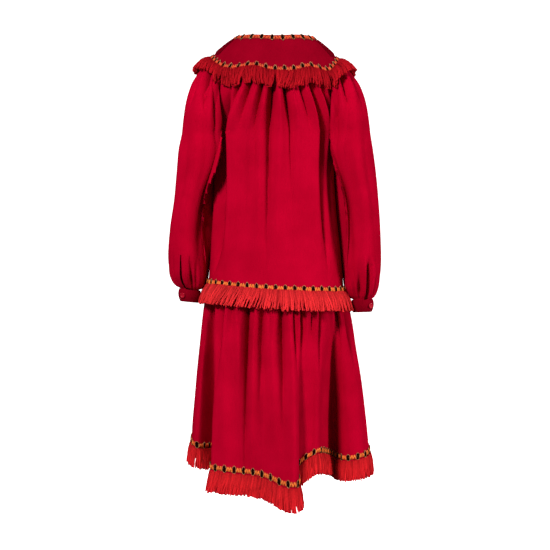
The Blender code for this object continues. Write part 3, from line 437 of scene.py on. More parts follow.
def crease_pull(creases: Sequence[Crease], across: Array, along: Array, sharp: float = 0.0,
                period: float | None = None) -> Array:
    """How far the creases pull the cloth in, with a low puff of cloth on each side of a trough.

    Args:
        creases: The creases.
        across: Places across the piece.
        along: Places along it.
        sharp: The share of a crease's depth that is a narrow valley in its middle.
        period: The period of a place across, on a piece that goes all round.

    Returns:
        The pull in metres.
    """
    pull = np.zeros(np.broadcast(across, along).shape)
    for crease in creases:
        centre = crease.top + (crease.foot - crease.top) * np.clip(along / crease.fades, 0, 1)
        away = across - centre
        if period:
            away = np.mod(away + period / 2, period) - period / 2
        grows = smooth_step((along - crease.begins) / (crease.full - crease.begins))
        fades = 1 - smooth_step((along - crease.full) / (crease.fades - crease.full))
        reach = np.abs(away / crease.width)
        trough = (1 - sharp) * np.exp(-(reach**1.7)) + sharp * np.exp(-((reach / VALLEY_WIDTH) ** 1.5))
        trough = trough - 0.16 * np.exp(-(((reach - 1.9) / 0.75) ** 2))
        pull += crease.depth * trough * grows * fades
    return pull


def waver(u: Array, v: Array, height: float) -> Array:
    """A slow unevenness of the cloth, from places in metres across and along it."""
    waves = (
        np.sin(31 * u + 9 * v + 0.4)
        + 0.8 * np.sin(-17 * u + 26 * v + 2.1)
        + 0.6 * np.sin(58 * u + 21 * v + 4.0)
        + 0.5 * np.sin(44 * u - 39 * v + 1.3)
    )
    return height * waves / 2.9


def gathers(main: Sequence[Crease], fine: Sequence[Crease], across: Array, along: Array,
            period: float | None = None) -> Array:
    """The pull of a piece's main creases and of its finer ones."""
    pull = MAIN_DEPTH * crease_pull(main, across, along, VALLEY_SHARE, period)
    return pull + FINE_DEPTH * crease_pull(fine, across, along, 0.0, period)


def arrays(across: Array, along: Array) -> tuple[Array, Array]:
    """Places across and along as arrays of one shape."""
    return np.broadcast_arrays(np.asarray(across, float), np.asarray(along, float))


def one_turn(angle: Array, first: float = -180) -> Array:
    """Angles brought into the turn that starts at first."""
    return np.mod(angle - first, 360) + first


def radius_of(place: Array) -> Array:
    """Distances from the dress's upright axis, never quite 0."""
    return np.maximum(np.linalg.norm(place[..., :2], axis=-1), 1e-9)


def pushed(place: Array, scale: Array) -> Array:
    """Points moved away from the upright axis."""
    moved = place.copy()
    moved[..., :2] *= scale[..., None]
    return moved


class BodyForm:
    """The shape of the dress round the body."""

    def yoke_edge(self, angle: Array) -> Array:
        """The yoke's outer edge, which ripples a little across the back."""
        edge = spline(YOKE_EDGE, angle, 360)
        edge[..., 2] -= smooth_step(-edge[..., 1] / 0.1) * spline(YOKE_SAG, edge[..., 0])[..., 0]
        return edge

    def yoke(self, angle: Array, down: Array) -> Array:
        """The yoke from the neck edge (0) to its outer edge (1)."""
        place = mixed(spline(NECK_EDGE, angle, 360), self.yoke_edge(angle), down)
        place[..., 2] += YOKE_BULGE * np.sin(math.pi * np.clip(down, 0, 1))
        return place

    def reach(self, left: Array, behind: Array, z: Array) -> tuple[Array, Array]:
        """The body's half-width and half-depth at a height, on the sides that are asked for."""
        size = spline(BODY_SECTIONS, z)
        return np.where(left, size[..., 0], size[..., 1]), np.where(behind, size[..., 2], size[..., 3])

    def outline(self, angle: Array, z: Array) -> Array:
        """The section of the body at a height below the underarm, a flattened ellipse."""
        across = np.sin(np.radians(angle))
        ahead = -np.cos(np.radians(angle))
        half_width, depth = self.reach(across < 0, ahead < 0, z)
        y = depth * ahead * (1 + BODY_FLATTEN * across**2)
        return np.stack([half_width * across, y, np.broadcast_to(z, across.shape)], axis=-1)

    def waist_z(self, angle: Array) -> Array:
        """The dropped waist, lower on the wearer's right."""
        at_back = np.clip(np.cos(np.radians(angle)), 0, 1) ** 2
        return WAIST_Z - WAIST_SLOPE * np.sin(np.radians(angle)) - WAIST_DROP * at_back

    def raglan_angle(self, half: Half, down: Array) -> Array:
        """The angle of the seam between body and sleeve, from the middle of its half."""
        return spline(RAGLAN_SEAM[half], down)[..., 0]

    def torso(self, angle: Array, down: Array) -> Array:
        """The body from the yoke's edge (0) to the underarm (1), as if it had no armholes."""
        angle, down = arrays(angle, down)
        top = self.yoke_edge(angle)
        foot = self.outline(one_turn(angle), np.full(angle.shape, UNDERARM_Z))
        place = mixed(top, foot, 1 - (1 - down) ** 2)
        place[..., :2] *= 1 + (BODICE_FULLNESS * np.sin(math.pi * np.clip(down, 0, 1)))[..., None]
        place[..., 2] = top[..., 2] + (UNDERARM_Z - top[..., 2]) * down
        return place

    def raglan(self, side: Side, half: Half, down: Array) -> Array:
        """The seam between body and sleeve, from the yoke (0) to the underarm (1)."""
        turned = self.raglan_angle(half, down) * side.sign * (1 if half is Half.BACK else -1)
        return self.torso(half.value + turned, down)

    def bodice(self, half: Half, angle: Array, along: Array) -> Array:
        """One half of the bodice: yoke (0), underarm (1) and dropped waist (2)."""
        angle, along = arrays(angle, along)
        down = np.clip(along, 0, 1)
        narrowed = half.value + (angle - half.value) * self.raglan_angle(half, down) / 90
        z = UNDERARM_Z + (self.waist_z(angle) - UNDERARM_Z) * np.clip(along - 1, 0, 2)
        return np.where((along > 1)[..., None], self.outline(one_turn(angle), z), self.torso(narrowed, down))

    def creased_bodice(self, half: Half, angle: Array, along: Array) -> Array:
        """One half of the bodice with its gathers, which leave the waist and the side seams as they are."""
        angle, along = arrays(angle, along)
        plain = partial(self.bodice, half)
        turned = one_turn(angle, -90)
        edge = np.abs(np.mod(turned + 90, 180))
        edge = np.minimum(edge, 180 - edge)
        pull = gathers(BODICE_CREASES, BODICE_FINE, turned, along)
        pull = pull * smooth_step((2 - along) / 0.35) * smooth_step(edge / 12)
        loose = smooth_step(along / 0.4) * smooth_step((2 - along) / 0.25)
        pull = pull + waver(turned * 0.0027, along * 0.3, 0.0011) * loose
        return plain(angle, along) - surface_normals(plain, angle, along, TURN_STEP) * pull[..., None]

    def skirt(self, angle: Array, down: Array) -> Array:
        """The skirt from the dropped waist (0) to its hem (1), without gathers."""
        angle, down = arrays(angle, down)
        waist = self.outline(angle, self.waist_z(angle))
        hem = spline(HEM_EDGE, angle, 360)
        hem[..., 2] += HEM_LIFT
        place = mixed(waist, hem, down * (1.5 - 0.5 * down))
        place[..., 2] = waist[..., 2] + (hem[..., 2] - waist[..., 2]) * down
        return place

    def creased_skirt(self, angle: Array, down: Array) -> Array:
        """The skirt with its gathers."""
        angle, down = arrays(angle, down)
        pull = gathers(SKIRT_CREASES, SKIRT_FINE, angle, down, 360)
        loose = smooth_step(down / 0.2) * smooth_step((1.02 - down) / 0.1)
        pull = pull + waver(one_turn(angle, -90) * 0.0032, down * 0.43, 0.0013) * loose
        return self.skirt(angle, down) - surface_normals(self.skirt, angle, down, TURN_STEP) * pull[..., None]

    def clear_of_body(self, place: Array, clearance: Array) -> Array:
        """Moves points out of the body's section, with some clearance."""
        z = np.clip(place[..., 2], BODY_SECTIONS[0][0], UNDERARM_Z)
        half_width, depth = self.reach(place[..., 0] < 0, place[..., 1] < 0, z)
        flat = place[..., :2].copy()
        for _ in range(SETTLING_ROUNDS):
            share = (flat[..., 0] / half_width) ** 2
            reach = np.sqrt(share + (flat[..., 1] / (depth * (1 + BODY_FLATTEN * share))) ** 2)
            flat = flat / np.maximum(reach, 1e-9)[..., None]
        limit = np.linalg.norm(flat, axis=-1) + clearance
        return pushed(place, np.maximum(limit / radius_of(place), 1))

    def clear_of_torso(self, place: Array, clearance: Array) -> Array:
        """Moves points above the underarm out of the torso, with some clearance."""
        turned = np.degrees(np.arctan2(place[..., 0], -place[..., 1]))
        angle = turned.copy()
        for _ in range(SETTLING_ROUNDS):
            top = self.yoke_edge(angle)[..., 2]
            down = np.clip((top - place[..., 2]) / (top - UNDERARM_Z), 0, 1)
            wall = self.torso(angle, down)
            angle = angle + one_turn(turned - np.degrees(np.arctan2(wall[..., 0], -wall[..., 1])))
        limit = np.linalg.norm(wall[..., :2], axis=-1) + clearance * smooth_step(down / 0.12)
        return pushed(place, np.where(down > 0.02, np.maximum(limit / radius_of(place), 1), 1))


@dataclass(frozen=True)
class SleeveForm:
    """The shape of one sleeve and its cuff."""

    side: Side
    body: BodyForm

    @property
    def step(self) -> float:
        """The step across from which its normals are measured."""
        return AROUND_STEP * self.side.sign

    @property
    def wrist(self) -> SleeveSection:
        """The section at the cuff's seam."""
        return SLEEVE_SECTIONS[self.side][0]

    def tilted(self, place: Array, share: Array | float) -> Array:
        """Lets the wrist's end of the sleeve hang lower towards the body."""
        outward = self.side.sign * place[..., 0] - (self.wrist.outer + self.wrist.inner) / 2
        place[..., 2] += CUFF_TILT[self.side] * outward * share
        return place

    def section(self, around: Array, z: Array) -> Array:
        """A ring of the sleeve from the underarm (0) round its back, outer side (0.5) and front (1)."""
        outer, inner, middle_y, half_depth = np.moveaxis(spline(SLEEVE_SECTIONS[self.side], z), -1, 0)
        turn = 2 * math.pi * np.asarray(around) + np.arcsin(middle_y / half_depth)
        x = self.side.sign * ((outer + inner) / 2 - (outer - inner) / 2 * np.cos(turn))
        y = middle_y - half_depth * np.sin(turn)
        place = np.stack([x, y, np.broadcast_to(z, turn.shape)], axis=-1)
        beside_fringe = smooth_step((FRINGE_CLEAR_Z - place[..., 2]) / 0.05)
        return self.body.clear_of_body(place, SLEEVE_CLEARANCE + FRINGE_CLEARANCE * beside_fringe)

    def plain(self, around: Array, along: Array) -> Array:
        """The sleeve from the yoke (0) past the underarm (1) to the cuff (2), without gathers."""
        around, along = arrays(around, along)
        down = np.clip(along, 0, 1)
        start = RAGLAN_ANGLE[Half.BACK]
        angle = self.side.sign * (start + (RAGLAN_ANGLE[Half.FRONT] - start) * around)

        def straight(share: Array, top: Array) -> Array:
            """A line from the yoke's edge, over the shoulder and down to the underarm's height."""
            foot = self.section(share, np.full(share.shape, UNDERARM_Z))
            wide = 0.8 * np.sin(math.pi * down / 2) + 0.2 * down
            drop = 0.75 * (1 - np.cos(math.pi * down / 2)) + 0.25 * down
            place = mixed(top, foot, wide)
            place[..., 2] = top[..., 2] + (UNDERARM_Z - top[..., 2]) * drop
            return place

        place = straight(around, self.body.yoke_edge(angle))
        for half, edge in ((Half.BACK, 0.0), (Half.FRONT, 1.0)):
            near = np.clip(1 - np.abs(around - edge), 0, 1) ** 2
            top = self.body.yoke_edge(np.full(around.shape, self.side.sign * RAGLAN_ANGLE[half]))
            line = straight(np.full(around.shape, edge), top)
            seam = self.body.raglan(self.side, half, down)
            place += (seam - line) * near[..., None] * (1 - down**8)[..., None]
        place = self.body.clear_of_torso(place, SLEEVE_CLEARANCE * (0.7 + 0.3 * down))
        z = UNDERARM_Z + (self.wrist.z - UNDERARM_Z) * np.clip(along - 1, 0, 2)
        low = self.tilted(self.section(around, z), smooth_step((along - 1.75) / 0.25))
        return np.where((along > 1)[..., None], low, place)

    def creased(self, around: Array, along: Array) -> Array:
        """The sleeve with its gathers, and with its slit standing open where the left one does."""
        around, along = arrays(around, along)
        pull = gathers(SLEEVE_CREASES, SLEEVE_FINE, around, along)
        if self.side is Side.RIGHT:
            pull = pull + crease_pull(RIGHT_FLAP, around, along)
        pull = pull * (0.35 + 0.65 * smooth_step((2 - along) / 0.04))
        pull = pull + SLEEVE_TUCK * smooth_step((along - 1.985) / 0.015)
        loose = smooth_step(along / 0.4) * smooth_step((2 - along) / 0.2)
        pull = pull + waver(around * 0.46, along * 0.3, 0.0014) * loose
        edge = smooth_step(np.minimum(around, 1 - around) / 0.06)
        edge = np.maximum(edge, smooth_step((along - 1.1) / 0.3))
        normals = surface_normals(self.plain, around, along, self.step)
        place = self.plain(around, along) - normals * (pull * edge)[..., None]
        if self.side is Side.LEFT:
            away = around - SLIT_PLACE[self.side]
            tangent = unit(self.plain(around + AROUND_STEP, along) - self.plain(around - AROUND_STEP, along))
            opened = SLIT_HALF_WIDTH * smooth_step((along - 1 - SLIT_TOP) / (1 - SLIT_TOP) * 0.9)
            place = place + tangent * (np.sign(away) * np.exp(-np.abs(away) / 0.10) * opened)[..., None]
        return place

    def trimmed(self, around: Array, along: Array) -> Array:
        """The sleeve with its raglan edges pulled back a little above the underarm."""
        trim = RAGLAN_TRIM * (np.asarray(along) < 0.999)
        return self.creased(trim + np.asarray(around) * (1 - 2 * trim), along)

    def cuff(self, around: Array, along: Array) -> Array:
        """A cuff wound once round the wrist and past its own start, which it laps over."""
        around, along = arrays(around, along)
        turn = SLIT_PLACE[self.side] + around
        place = self.section(np.mod(turn, 1), np.full(turn.shape, self.wrist.z))
        middle = self.side.sign * (self.wrist.outer + self.wrist.inner) / 2
        out = unit(place[..., :2] - np.array([middle, self.wrist.middle_y]))
        lap = smooth_step((around - 1 + 2 * CUFF_LAP) / (2 * CUFF_LAP)) * (WALL + 3 * LAY_GAP)
        shape = CUFF_BULGE * np.sin(math.pi * np.clip(along, 0, 1)) - CUFF_TAPER * np.clip(along, 0, 1) ** 2
        place[..., :2] += out * (lap + shape)[..., None]
        place[..., 2] = self.wrist.z - CUFF_HEIGHT * along
        return self.tilted(place, 1.0)


def spread(surface: Surface, first: float, last: float, count: int, heights: Sequence[float], bend: float) -> Array:
    """Chooses columns that stand closer together where the surface is longer or bends more.

    Args:
        surface: The surface.
        first: Its first place across.
        last: Its last place across.
        count: How many cells to make.
        heights: The places along where it is measured.
        bend: The length that a turn by one radian counts for.

    Returns:
        The places of the columns.
    """
    fine = np.linspace(first, last, 2400)
    cost = np.zeros(len(fine) - 1)
    for height in heights:
        line = surface(fine, np.full(fine.shape, height))
        steps = np.diff(line, axis=0)
        turn = np.zeros(len(steps))
        turn[1:] = np.linalg.norm(np.diff(unit(steps), axis=0), axis=1)
        cost += np.linalg.norm(steps, axis=1) + bend * turn
    reached = np.concatenate([[0], np.cumsum(cost)])
    return np.interp(np.linspace(0, reached[-1], count + 1), reached, fine)


def rows_between(marks: Sequence[float], count: int) -> Array:
    """Rows at each mark, and evenly between them, about as many as count."""
    marks = np.asarray(marks, float)
    total = marks[-1] - marks[0]
    rows = [marks[:1]]
    for low, high in zip(marks[:-1], marks[1:]):
        cells = max(1, round(count * (high - low) / total))
        rows.append(np.linspace(low, high, cells + 1)[1:])
    return np.concatenate(rows)

class Nodes:
    """A small hand for building a node tree."""

    def __init__(self, tree: bpy.types.NodeTree) -> None:
        """Takes the tree."""
        self.tree = tree

    def feed(self, node: bpy.types.Node, inputs: dict[str | int, object]) -> None:
        """Links sockets to a node's inputs, and sets its other inputs to values."""
        for key, value in inputs.items():
            if isinstance(value, bpy.types.NodeSocket):
                self.tree.links.new(value, node.inputs[key])
            else:
                node.inputs[key].default_value = value

    def add(self, kind: str, output: str | int, inputs: dict[str | int, object] | None = None,
            **settings: object) -> Socket:
        """Adds a node.

        Args:
            kind: Its type.
            output: The output that is wanted.
            inputs: Sockets or values for its inputs.
            **settings: Its other settings.

        Returns:
            The output's socket.
        """
        node = self.tree.nodes.new(kind)
        for key, value in settings.items():
            setattr(node, key, value)
        self.feed(node, inputs or {})
        return node.outputs[output]


class Shader(Nodes):
    """A material in the making."""

    def __init__(self, name: str) -> None:
        """Makes an empty material with a Principled shader."""
        self.material = bpy.data.materials.new(name)
        self.material.use_nodes = True
        super().__init__(self.material.node_tree)
        self.place = self.add("ShaderNodeTexCoord", "Object")

    def noise(self, scale: float, detail: float) -> Socket:
        """A noise over the object, with a scale in 1/metres."""
        return self.add("ShaderNodeTexNoise", "Fac", {"Scale": scale, "Detail": detail, "Vector": self.place})

    def threads(self, scale: float, distortion: float, detail_scale: float = 1.0) -> Socket:
        """Bands along the cloth's own threads."""
        inputs = {"Scale": scale, "Distortion": distortion, "Detail Scale": detail_scale,
                  "Vector": self.add("ShaderNodeUVMap", "UV")}
        return self.add("ShaderNodeTexWave", "Fac", inputs, wave_type="BANDS", bands_direction="X")

    def ramp(self, source: Socket, *stops: tuple[float, Colour | float]) -> Socket:
        """A ramp between two stops, each a colour or a grey."""
        colour = self.add("ShaderNodeValToRGB", "Color", {"Fac": source})
        for element, (at, tone) in zip(colour.node.color_ramp.elements, stops):
            element.position = at
            element.color = (*(tone if isinstance(tone, tuple) else (tone,) * 3), 1.0)
        return colour

    def maths(self, operation: str, *values: Socket | float) -> Socket:
        """A Math node of some sockets or numbers."""
        return self.add("ShaderNodeMath", 0, dict(enumerate(values)), operation=operation)

    def multiply(self, first: Socket, second: Socket) -> Socket:
        """The product of two colours."""
        inputs = {"Factor": 1.0, "A": first, "B": second}
        return self.add("ShaderNodeMix", "Result", inputs, data_type="RGBA", blend_type="MULTIPLY")

    def bump(self, height: Socket, distance: float, strength: float, **below: Socket) -> Socket:
        """A bump from a height, over another one where it is given as Normal."""
        inputs = {"Distance": distance, "Strength": strength, "Height": height, **below}
        return self.add("ShaderNodeBump", "Normal", inputs)

    def finish(self, roughness: Socket | float, specular: float, **inputs: object) -> bpy.types.Material:
        """Sets the shader's own inputs, by names with spaces written as _, and gives the material."""
        named = {key.replace("_", " "): value for key, value in inputs.items()}
        principled = self.tree.nodes["Principled BSDF"]
        self.feed(principled, {"Roughness": roughness, "Specular IOR Level": specular, **named})
        return self.material


def crepe(name: str, low: Colour, high: Colour) -> bpy.types.Material:
    """Wool crepe: a matt cloth with a fine pebbled weave and slightly uneven dye."""
    shader = Shader(name)
    tone = shader.ramp(shader.noise(14, 3), (0.35, low), (0.65, high))
    fleck = shader.ramp(shader.noise(900, 2), (0.30, 0.86), (0.70, 1.0))
    coarse = shader.bump(shader.noise(160, 3), 0.0008, 0.28)
    pebble = shader.bump(shader.noise(1300, 2), 0.0005, 0.35, Normal=coarse)
    grain = shader.bump(shader.threads(240, 2.5, 2.0), 0.0003, 0.25, Normal=pebble)
    return shader.finish(1.0, 0.0, Base_Color=shader.multiply(tone, fleck), Normal=grain)


def dyed_yarn(name: str) -> bpy.types.Material:
    """Dyed wool yarn: its colour comes from the yarn itself, whose dye attribute on the fringes also carries painted
    shade towards the roots, and its two plies turn round each other, with painted shade in the grooves between them.
    """
    shader = Shader(name)
    dye = shader.add("ShaderNodeAttribute", "Vector", attribute_name="dye")
    run = shader.add("ShaderNodeAttribute", "Fac", attribute_name="run")
    around = shader.add("ShaderNodeAttribute", "Vector", attribute_name="around")
    parts = shader.add("ShaderNodeSeparateXYZ", "X", {"Vector": around}).node.outputs
    turned = shader.maths("MULTIPLY", run, PLY_TURNS * math.pi)
    first = shader.maths("MULTIPLY", shader.maths("SINE", turned), parts["X"])
    second = shader.maths("MULTIPLY", shader.maths("COSINE", turned), parts["Y"])
    plies = shader.maths("ABSOLUTE", shader.maths("ADD", first, second))
    # Painted shade: the yarn is darker in the grooves where its two plies meet.
    shade = shader.ramp(plies, (0.0, 0.62), (0.45, 1.0))
    fuzz = shader.ramp(shader.noise(500, 3), (0.30, 0.80), (0.70, 1.0))
    hairs = shader.bump(shader.noise(2200, 2), 0.0004, 0.4, Normal=shader.bump(plies, 0.0007, 0.7))
    return shader.finish(1.0, 0.0, Base_Color=shader.multiply(shader.multiply(dye, shade), fuzz), Normal=hairs)


def woven_tape(name: str, low: Colour, high: Colour) -> bpy.types.Material:
    """The braid's ground: a close woven tape."""
    shader = Shader(name)
    weft = shader.threads(260, 1.0)
    grain = shader.bump(shader.noise(1400, 2), 0.0003, 0.4, Normal=shader.bump(weft, 0.0006, 0.5))
    return shader.finish(0.9, 0.2, Base_Color=shader.ramp(weft, (0.25, low), (0.75, high)), Normal=grain)


def dyed_horn(name: str) -> bpy.types.Material:
    """A dyed horn button with faint clouds and a soft shine."""
    shader = Shader(name)
    clouds = shader.noise(380, 3)
    tone = shader.ramp(clouds, (0.3, (0.30, 0.002, 0.012)), (0.7, (0.46, 0.004, 0.022)))
    worn = shader.ramp(clouds, (0.3, 0.30), (0.7, 0.42))
    return shader.finish(worn, 0.10, Base_Color=tone, Normal=shader.bump(clouds, 0.0002, 0.3))


def pale_floor(name: str) -> bpy.types.Material:
    """A pale matt floor that is lit from behind."""
    shader = Shader(name)
    tone = shader.ramp(shader.noise(6, 2), (0.4, 0.91), (0.6, 0.92))
    return shader.finish(1.0, 0.0, Base_Color=tone, Emission_Color=(1, 1, 1, 1), Emission_Strength=1.0)


def new_piece(name: str, mesh: bpy.types.Mesh, material: bpy.types.Material) -> bpy.types.Object:
    """Adds an object of a finished mesh to the scene."""
    obj = bpy.data.objects.new(name, mesh)
    mesh.materials.clear()
    mesh.materials.append(material)
    bpy.context.scene.collection.objects.link(obj)
    return obj


@dataclass
class Cloth:
    """One cut piece of cloth: a thin wall on a surface.

    closed_from is the first row in which the last column meets the first, and slit the cells that are left out.
    """

    name: str
    surface: Surface
    across: Array
    along: Array
    step: float
    wall: float = WALL
    closed_from: int | None = None
    slit: Callable[[int, int], bool] | None = None

    @cached_property
    def grid(self) -> tuple[Array, Array]:
        """The outer and the inner points, row by row."""
        columns, rows = np.meshgrid(self.across, self.along)
        outer = self.surface(columns, rows)
        inner = outer - surface_normals(self.surface, columns, rows, self.step) * self.wall
        return outer, inner

    def flat_cut(self) -> tuple[float, float, float]:
        """The width, the length and the area of the piece laid flat, measured along its threads."""
        outer, inner = self.grid
        middle = (outer + inner) / 2
        width = np.linalg.norm(np.diff(middle, axis=1), axis=-1).sum(axis=1).max()
        length = np.linalg.norm(np.diff(middle, axis=0), axis=-1).sum(axis=0).max()
        first = middle[1:, 1:] - middle[:-1, :-1]
        second = middle[1:, :-1] - middle[:-1, 1:]
        area = np.linalg.norm(np.cross(first, second), axis=-1).sum() / 2
        return float(width), float(length), float(min(area, width * length))

    def build(self, material: bpy.types.Material) -> bpy.types.Object:
        """Makes the piece.

        Args:
            material: Its finish.

        Returns:
            The piece's object.
        """
        outer, inner = self.grid
        height, width = outer.shape[:2]
        raw = np.arange(height * width).reshape(height, width)
        welded = raw.copy()
        if self.closed_from is not None:
            welded[self.closed_from :, -1] = welded[self.closed_from :, 0]
        corners = [(0, 0), (1, 0), (1, 1), (0, 1)]
        cells = [(r, c) for r in range(height - 1) for c in range(width - 1)]
        if self.slit:
            cells = [cell for cell in cells if not self.slit(*cell)]
        cells = np.array(cells)
        quads = np.stack([raw[cells[:, 0] + r, cells[:, 1] + c] for r, c in corners], axis=1)
        flat = outer.reshape(-1, 3)
        first = flat[quads[0]]
        outward = first[0] - inner.reshape(-1, 3)[quads[0][0]]
        if np.cross(first[1] - first[0], first[3] - first[0]) @ outward < 0:
            quads = quads[:, ::-1]
        lookup = welded.reshape(-1)
        joined = lookup[quads]
        count = len(flat)
        edges = np.stack([joined, np.roll(joined, -1, axis=1)], axis=-1).reshape(-1, 2)
        raw_edges = np.stack([quads, np.roll(quads, -1, axis=1)], axis=-1).reshape(-1, 2)
        keys = edges[:, 0] * count + edges[:, 1]
        rim = ~np.isin(edges[:, 1] * count + edges[:, 0], keys)
        a, b = edges[rim].T
        ra, rb = raw_edges[rim].T
        walls = np.stack([b, a, a + count, b + count], axis=1)
        raw_walls = np.stack([rb, ra, ra + count, rb + count], axis=1)
        faces = np.concatenate([joined, joined[:, ::-1] + count, walls])
        raw_faces = np.concatenate([quads, quads[:, ::-1] + count, raw_walls])
        used, index = np.unique(faces, return_inverse=True)
        points = np.concatenate([flat, inner.reshape(-1, 3)])[used]
        mesh = bpy.data.meshes.new(self.name)
        mesh.from_pydata(points.tolist(), [], index.reshape(faces.shape).tolist())
        self.lay_threads(mesh, outer, raw_faces % count)
        mesh.shade_smooth()
        mesh.set_sharp_from_angle(angle=math.radians(70))
        return new_piece(self.name, mesh, material)

    def lay_threads(self, mesh: bpy.types.Mesh, outer: Array, faces: Array) -> None:
        """Gives the mesh a UV map in metres along its threads."""
        height, width = outer.shape[:2]
        middle = outer[height // 2]
        u = np.concatenate([[0], np.cumsum(np.linalg.norm(np.diff(middle, axis=0), axis=1))])
        down = outer[:, width // 2]
        v = np.concatenate([[0], np.cumsum(np.linalg.norm(np.diff(down, axis=0), axis=1))])
        layer = mesh.uv_layers.new(name="threads")
        order = faces.reshape(-1)
        pairs = np.stack([u[order % width], v[order // width]], axis=1)
        layer.data.foreach_set("uv", pairs.astype(np.float32).reshape(-1))


def raised(surface: Surface, step: float, lift: Callable[[Array, Array], Array]) -> Surface:
    """A surface moved out by a lift that may differ from place to place."""

    def above(across: Array, along: Array) -> Array:
        """The raised surface."""
        normals = surface_normals(surface, across, along, step)
        height = np.broadcast_to(lift(across, along), normals.shape[:-1])
        return surface(across, along) + normals * height[..., None]

    return above


@dataclass
class Guides:
    """Guide lines of yarns, each with its thickness and colour along the way: the yarn's dye, and on the fringes
    painted shade towards the roots.
    """

    points: list[Array] = field(default_factory=list)
    radii: list[Array] = field(default_factory=list)
    dyes: list[Array] = field(default_factory=list)

    def add(self, points: Array, radius: Array | float, dye: Array | Colour) -> None:
        """Adds lines.

        Args:
            points: Lines by points by 3.
            radius: One radius, or one for each point of each line.
            dye: One colour, or one for each line, or one for each point of each line; on the fringes this also holds
                painted shade.
        """
        lines, count = points.shape[:2]
        dye = np.asarray(dye, float)
        if dye.ndim == 2:
            dye = dye[:, None, :]
        self.points.append(points)
        self.radii.append(np.broadcast_to(radius, (lines, count)))
        self.dyes.append(np.broadcast_to(dye, (lines, count, 3)))

    def mesh(self, name: str) -> bpy.types.Mesh:
        """A mesh of edges that holds all the lines."""
        points, edges, runs = [], [], []
        first = 0
        for batch in self.points:
            lines, count = batch.shape[:2]
            index = first + np.arange(lines * count).reshape(lines, count)
            edges.append(np.stack([index[:, :-1], index[:, 1:]], axis=-1).reshape(-1, 2))
            steps = np.linalg.norm(np.diff(batch, axis=1), axis=-1)
            runs.append(np.concatenate([np.zeros((lines, 1)), np.cumsum(steps, axis=1)], axis=1).reshape(-1))
            points.append(batch.reshape(-1, 3))
            first += lines * count
        mesh = bpy.data.meshes.new(name)
        mesh.from_pydata(np.concatenate(points).tolist(), np.concatenate(edges).tolist(), [])
        values = {
            "radius": ("FLOAT", "value", np.concatenate([r.reshape(-1) for r in self.radii])),
            "run": ("FLOAT", "value", np.concatenate(runs)),
            "dye": ("FLOAT_VECTOR", "vector", np.concatenate([d.reshape(-1) for d in self.dyes])),
        }
        for key, (kind, slot, data) in values.items():
            attribute = mesh.attributes.new(key, kind, "POINT")
            attribute.data.foreach_set(slot, np.ascontiguousarray(data, np.float32))
        return mesh


class YarnTree(Nodes):
    """Geometry Nodes that turn guide lines into round yarns."""

    def __init__(self) -> None:
        """Builds the node group once."""
        super().__init__(bpy.data.node_groups.new("round_yarns", "GeometryNodeTree"))
        self.tree.is_modifier = True
        face = self.tree.interface
        face.new_socket("Geometry", in_out="INPUT", socket_type="NodeSocketGeometry")
        self.sides = face.new_socket("Sides", in_out="INPUT", socket_type="NodeSocketInt").identifier
        self.finish = face.new_socket("Finish", in_out="INPUT", socket_type="NodeSocketMaterial").identifier
        face.new_socket("Geometry", in_out="OUTPUT", socket_type="NodeSocketGeometry")
        start = self.tree.nodes.new("NodeGroupInput").outputs
        lines = self.add("GeometryNodeMeshToCurve", "Curve", {"Mesh": start["Geometry"]})
        radius = self.add("GeometryNodeInputNamedAttribute", "Attribute", {"Name": "radius"}, data_type="FLOAT")
        circle = self.add("GeometryNodeCurvePrimitiveCircle", "Curve", {"Radius": 1.0, "Resolution": start["Sides"]})
        place = self.add("GeometryNodeInputPosition", "Position")
        ring = self.add("GeometryNodeStoreNamedAttribute", "Geometry",
                        {"Geometry": circle, "Name": "around", "Value": place}, data_type="FLOAT_VECTOR")
        tube = self.add("GeometryNodeCurveToMesh", "Mesh",
                        {"Curve": lines, "Profile Curve": ring, "Scale": radius, "Fill Caps": True})
        smooth = self.add("GeometryNodeSetShadeSmooth", "Geometry", {"Geometry": tube})
        real = self.add("GeometryNodeRealizeInstances", "Geometry", {"Geometry": smooth})
        done = self.add("GeometryNodeSetMaterial", "Geometry", {"Geometry": real, "Material": start["Finish"]})
        self.feed(self.tree.nodes.new("NodeGroupOutput"), {"Geometry": done})

    def spin(self, name: str, guides: Guides, sides: int, material: bpy.types.Material) -> bpy.types.Object:
        """Makes one piece of all the guides' yarns.

        Args:
            name: The piece's name.
            guides: The lines.
            sides: How many sides a yarn has.
            material: Its finish.

        Returns:
            The piece's object, a plain mesh.
        """
        obj = bpy.data.objects.new(name, guides.mesh(name))
        bpy.context.scene.collection.objects.link(obj)
        modifier = obj.modifiers.new("yarns", "NODES")
        modifier.node_group = self.tree
        modifier[self.sides] = sides
        modifier[self.finish] = material
        bpy.context.view_layer.update()
        graph = bpy.context.evaluated_depsgraph_get()
        mesh = bpy.data.meshes.new_from_object(obj.evaluated_get(graph))
        lines = obj.data
        obj.modifiers.clear()
        obj.data = mesh
        mesh.name = name
        bpy.data.meshes.remove(lines)
        self.face_out(mesh)
        return obj

    @staticmethod
    def face_out(mesh: bpy.types.Mesh) -> None:
        """Turns the faces of every yarn outwards."""
        body = bmesh.new()
        body.from_mesh(mesh)
        bmesh.ops.recalc_face_normals(body, faces=body.faces)
        body.to_mesh(mesh)
        body.free()


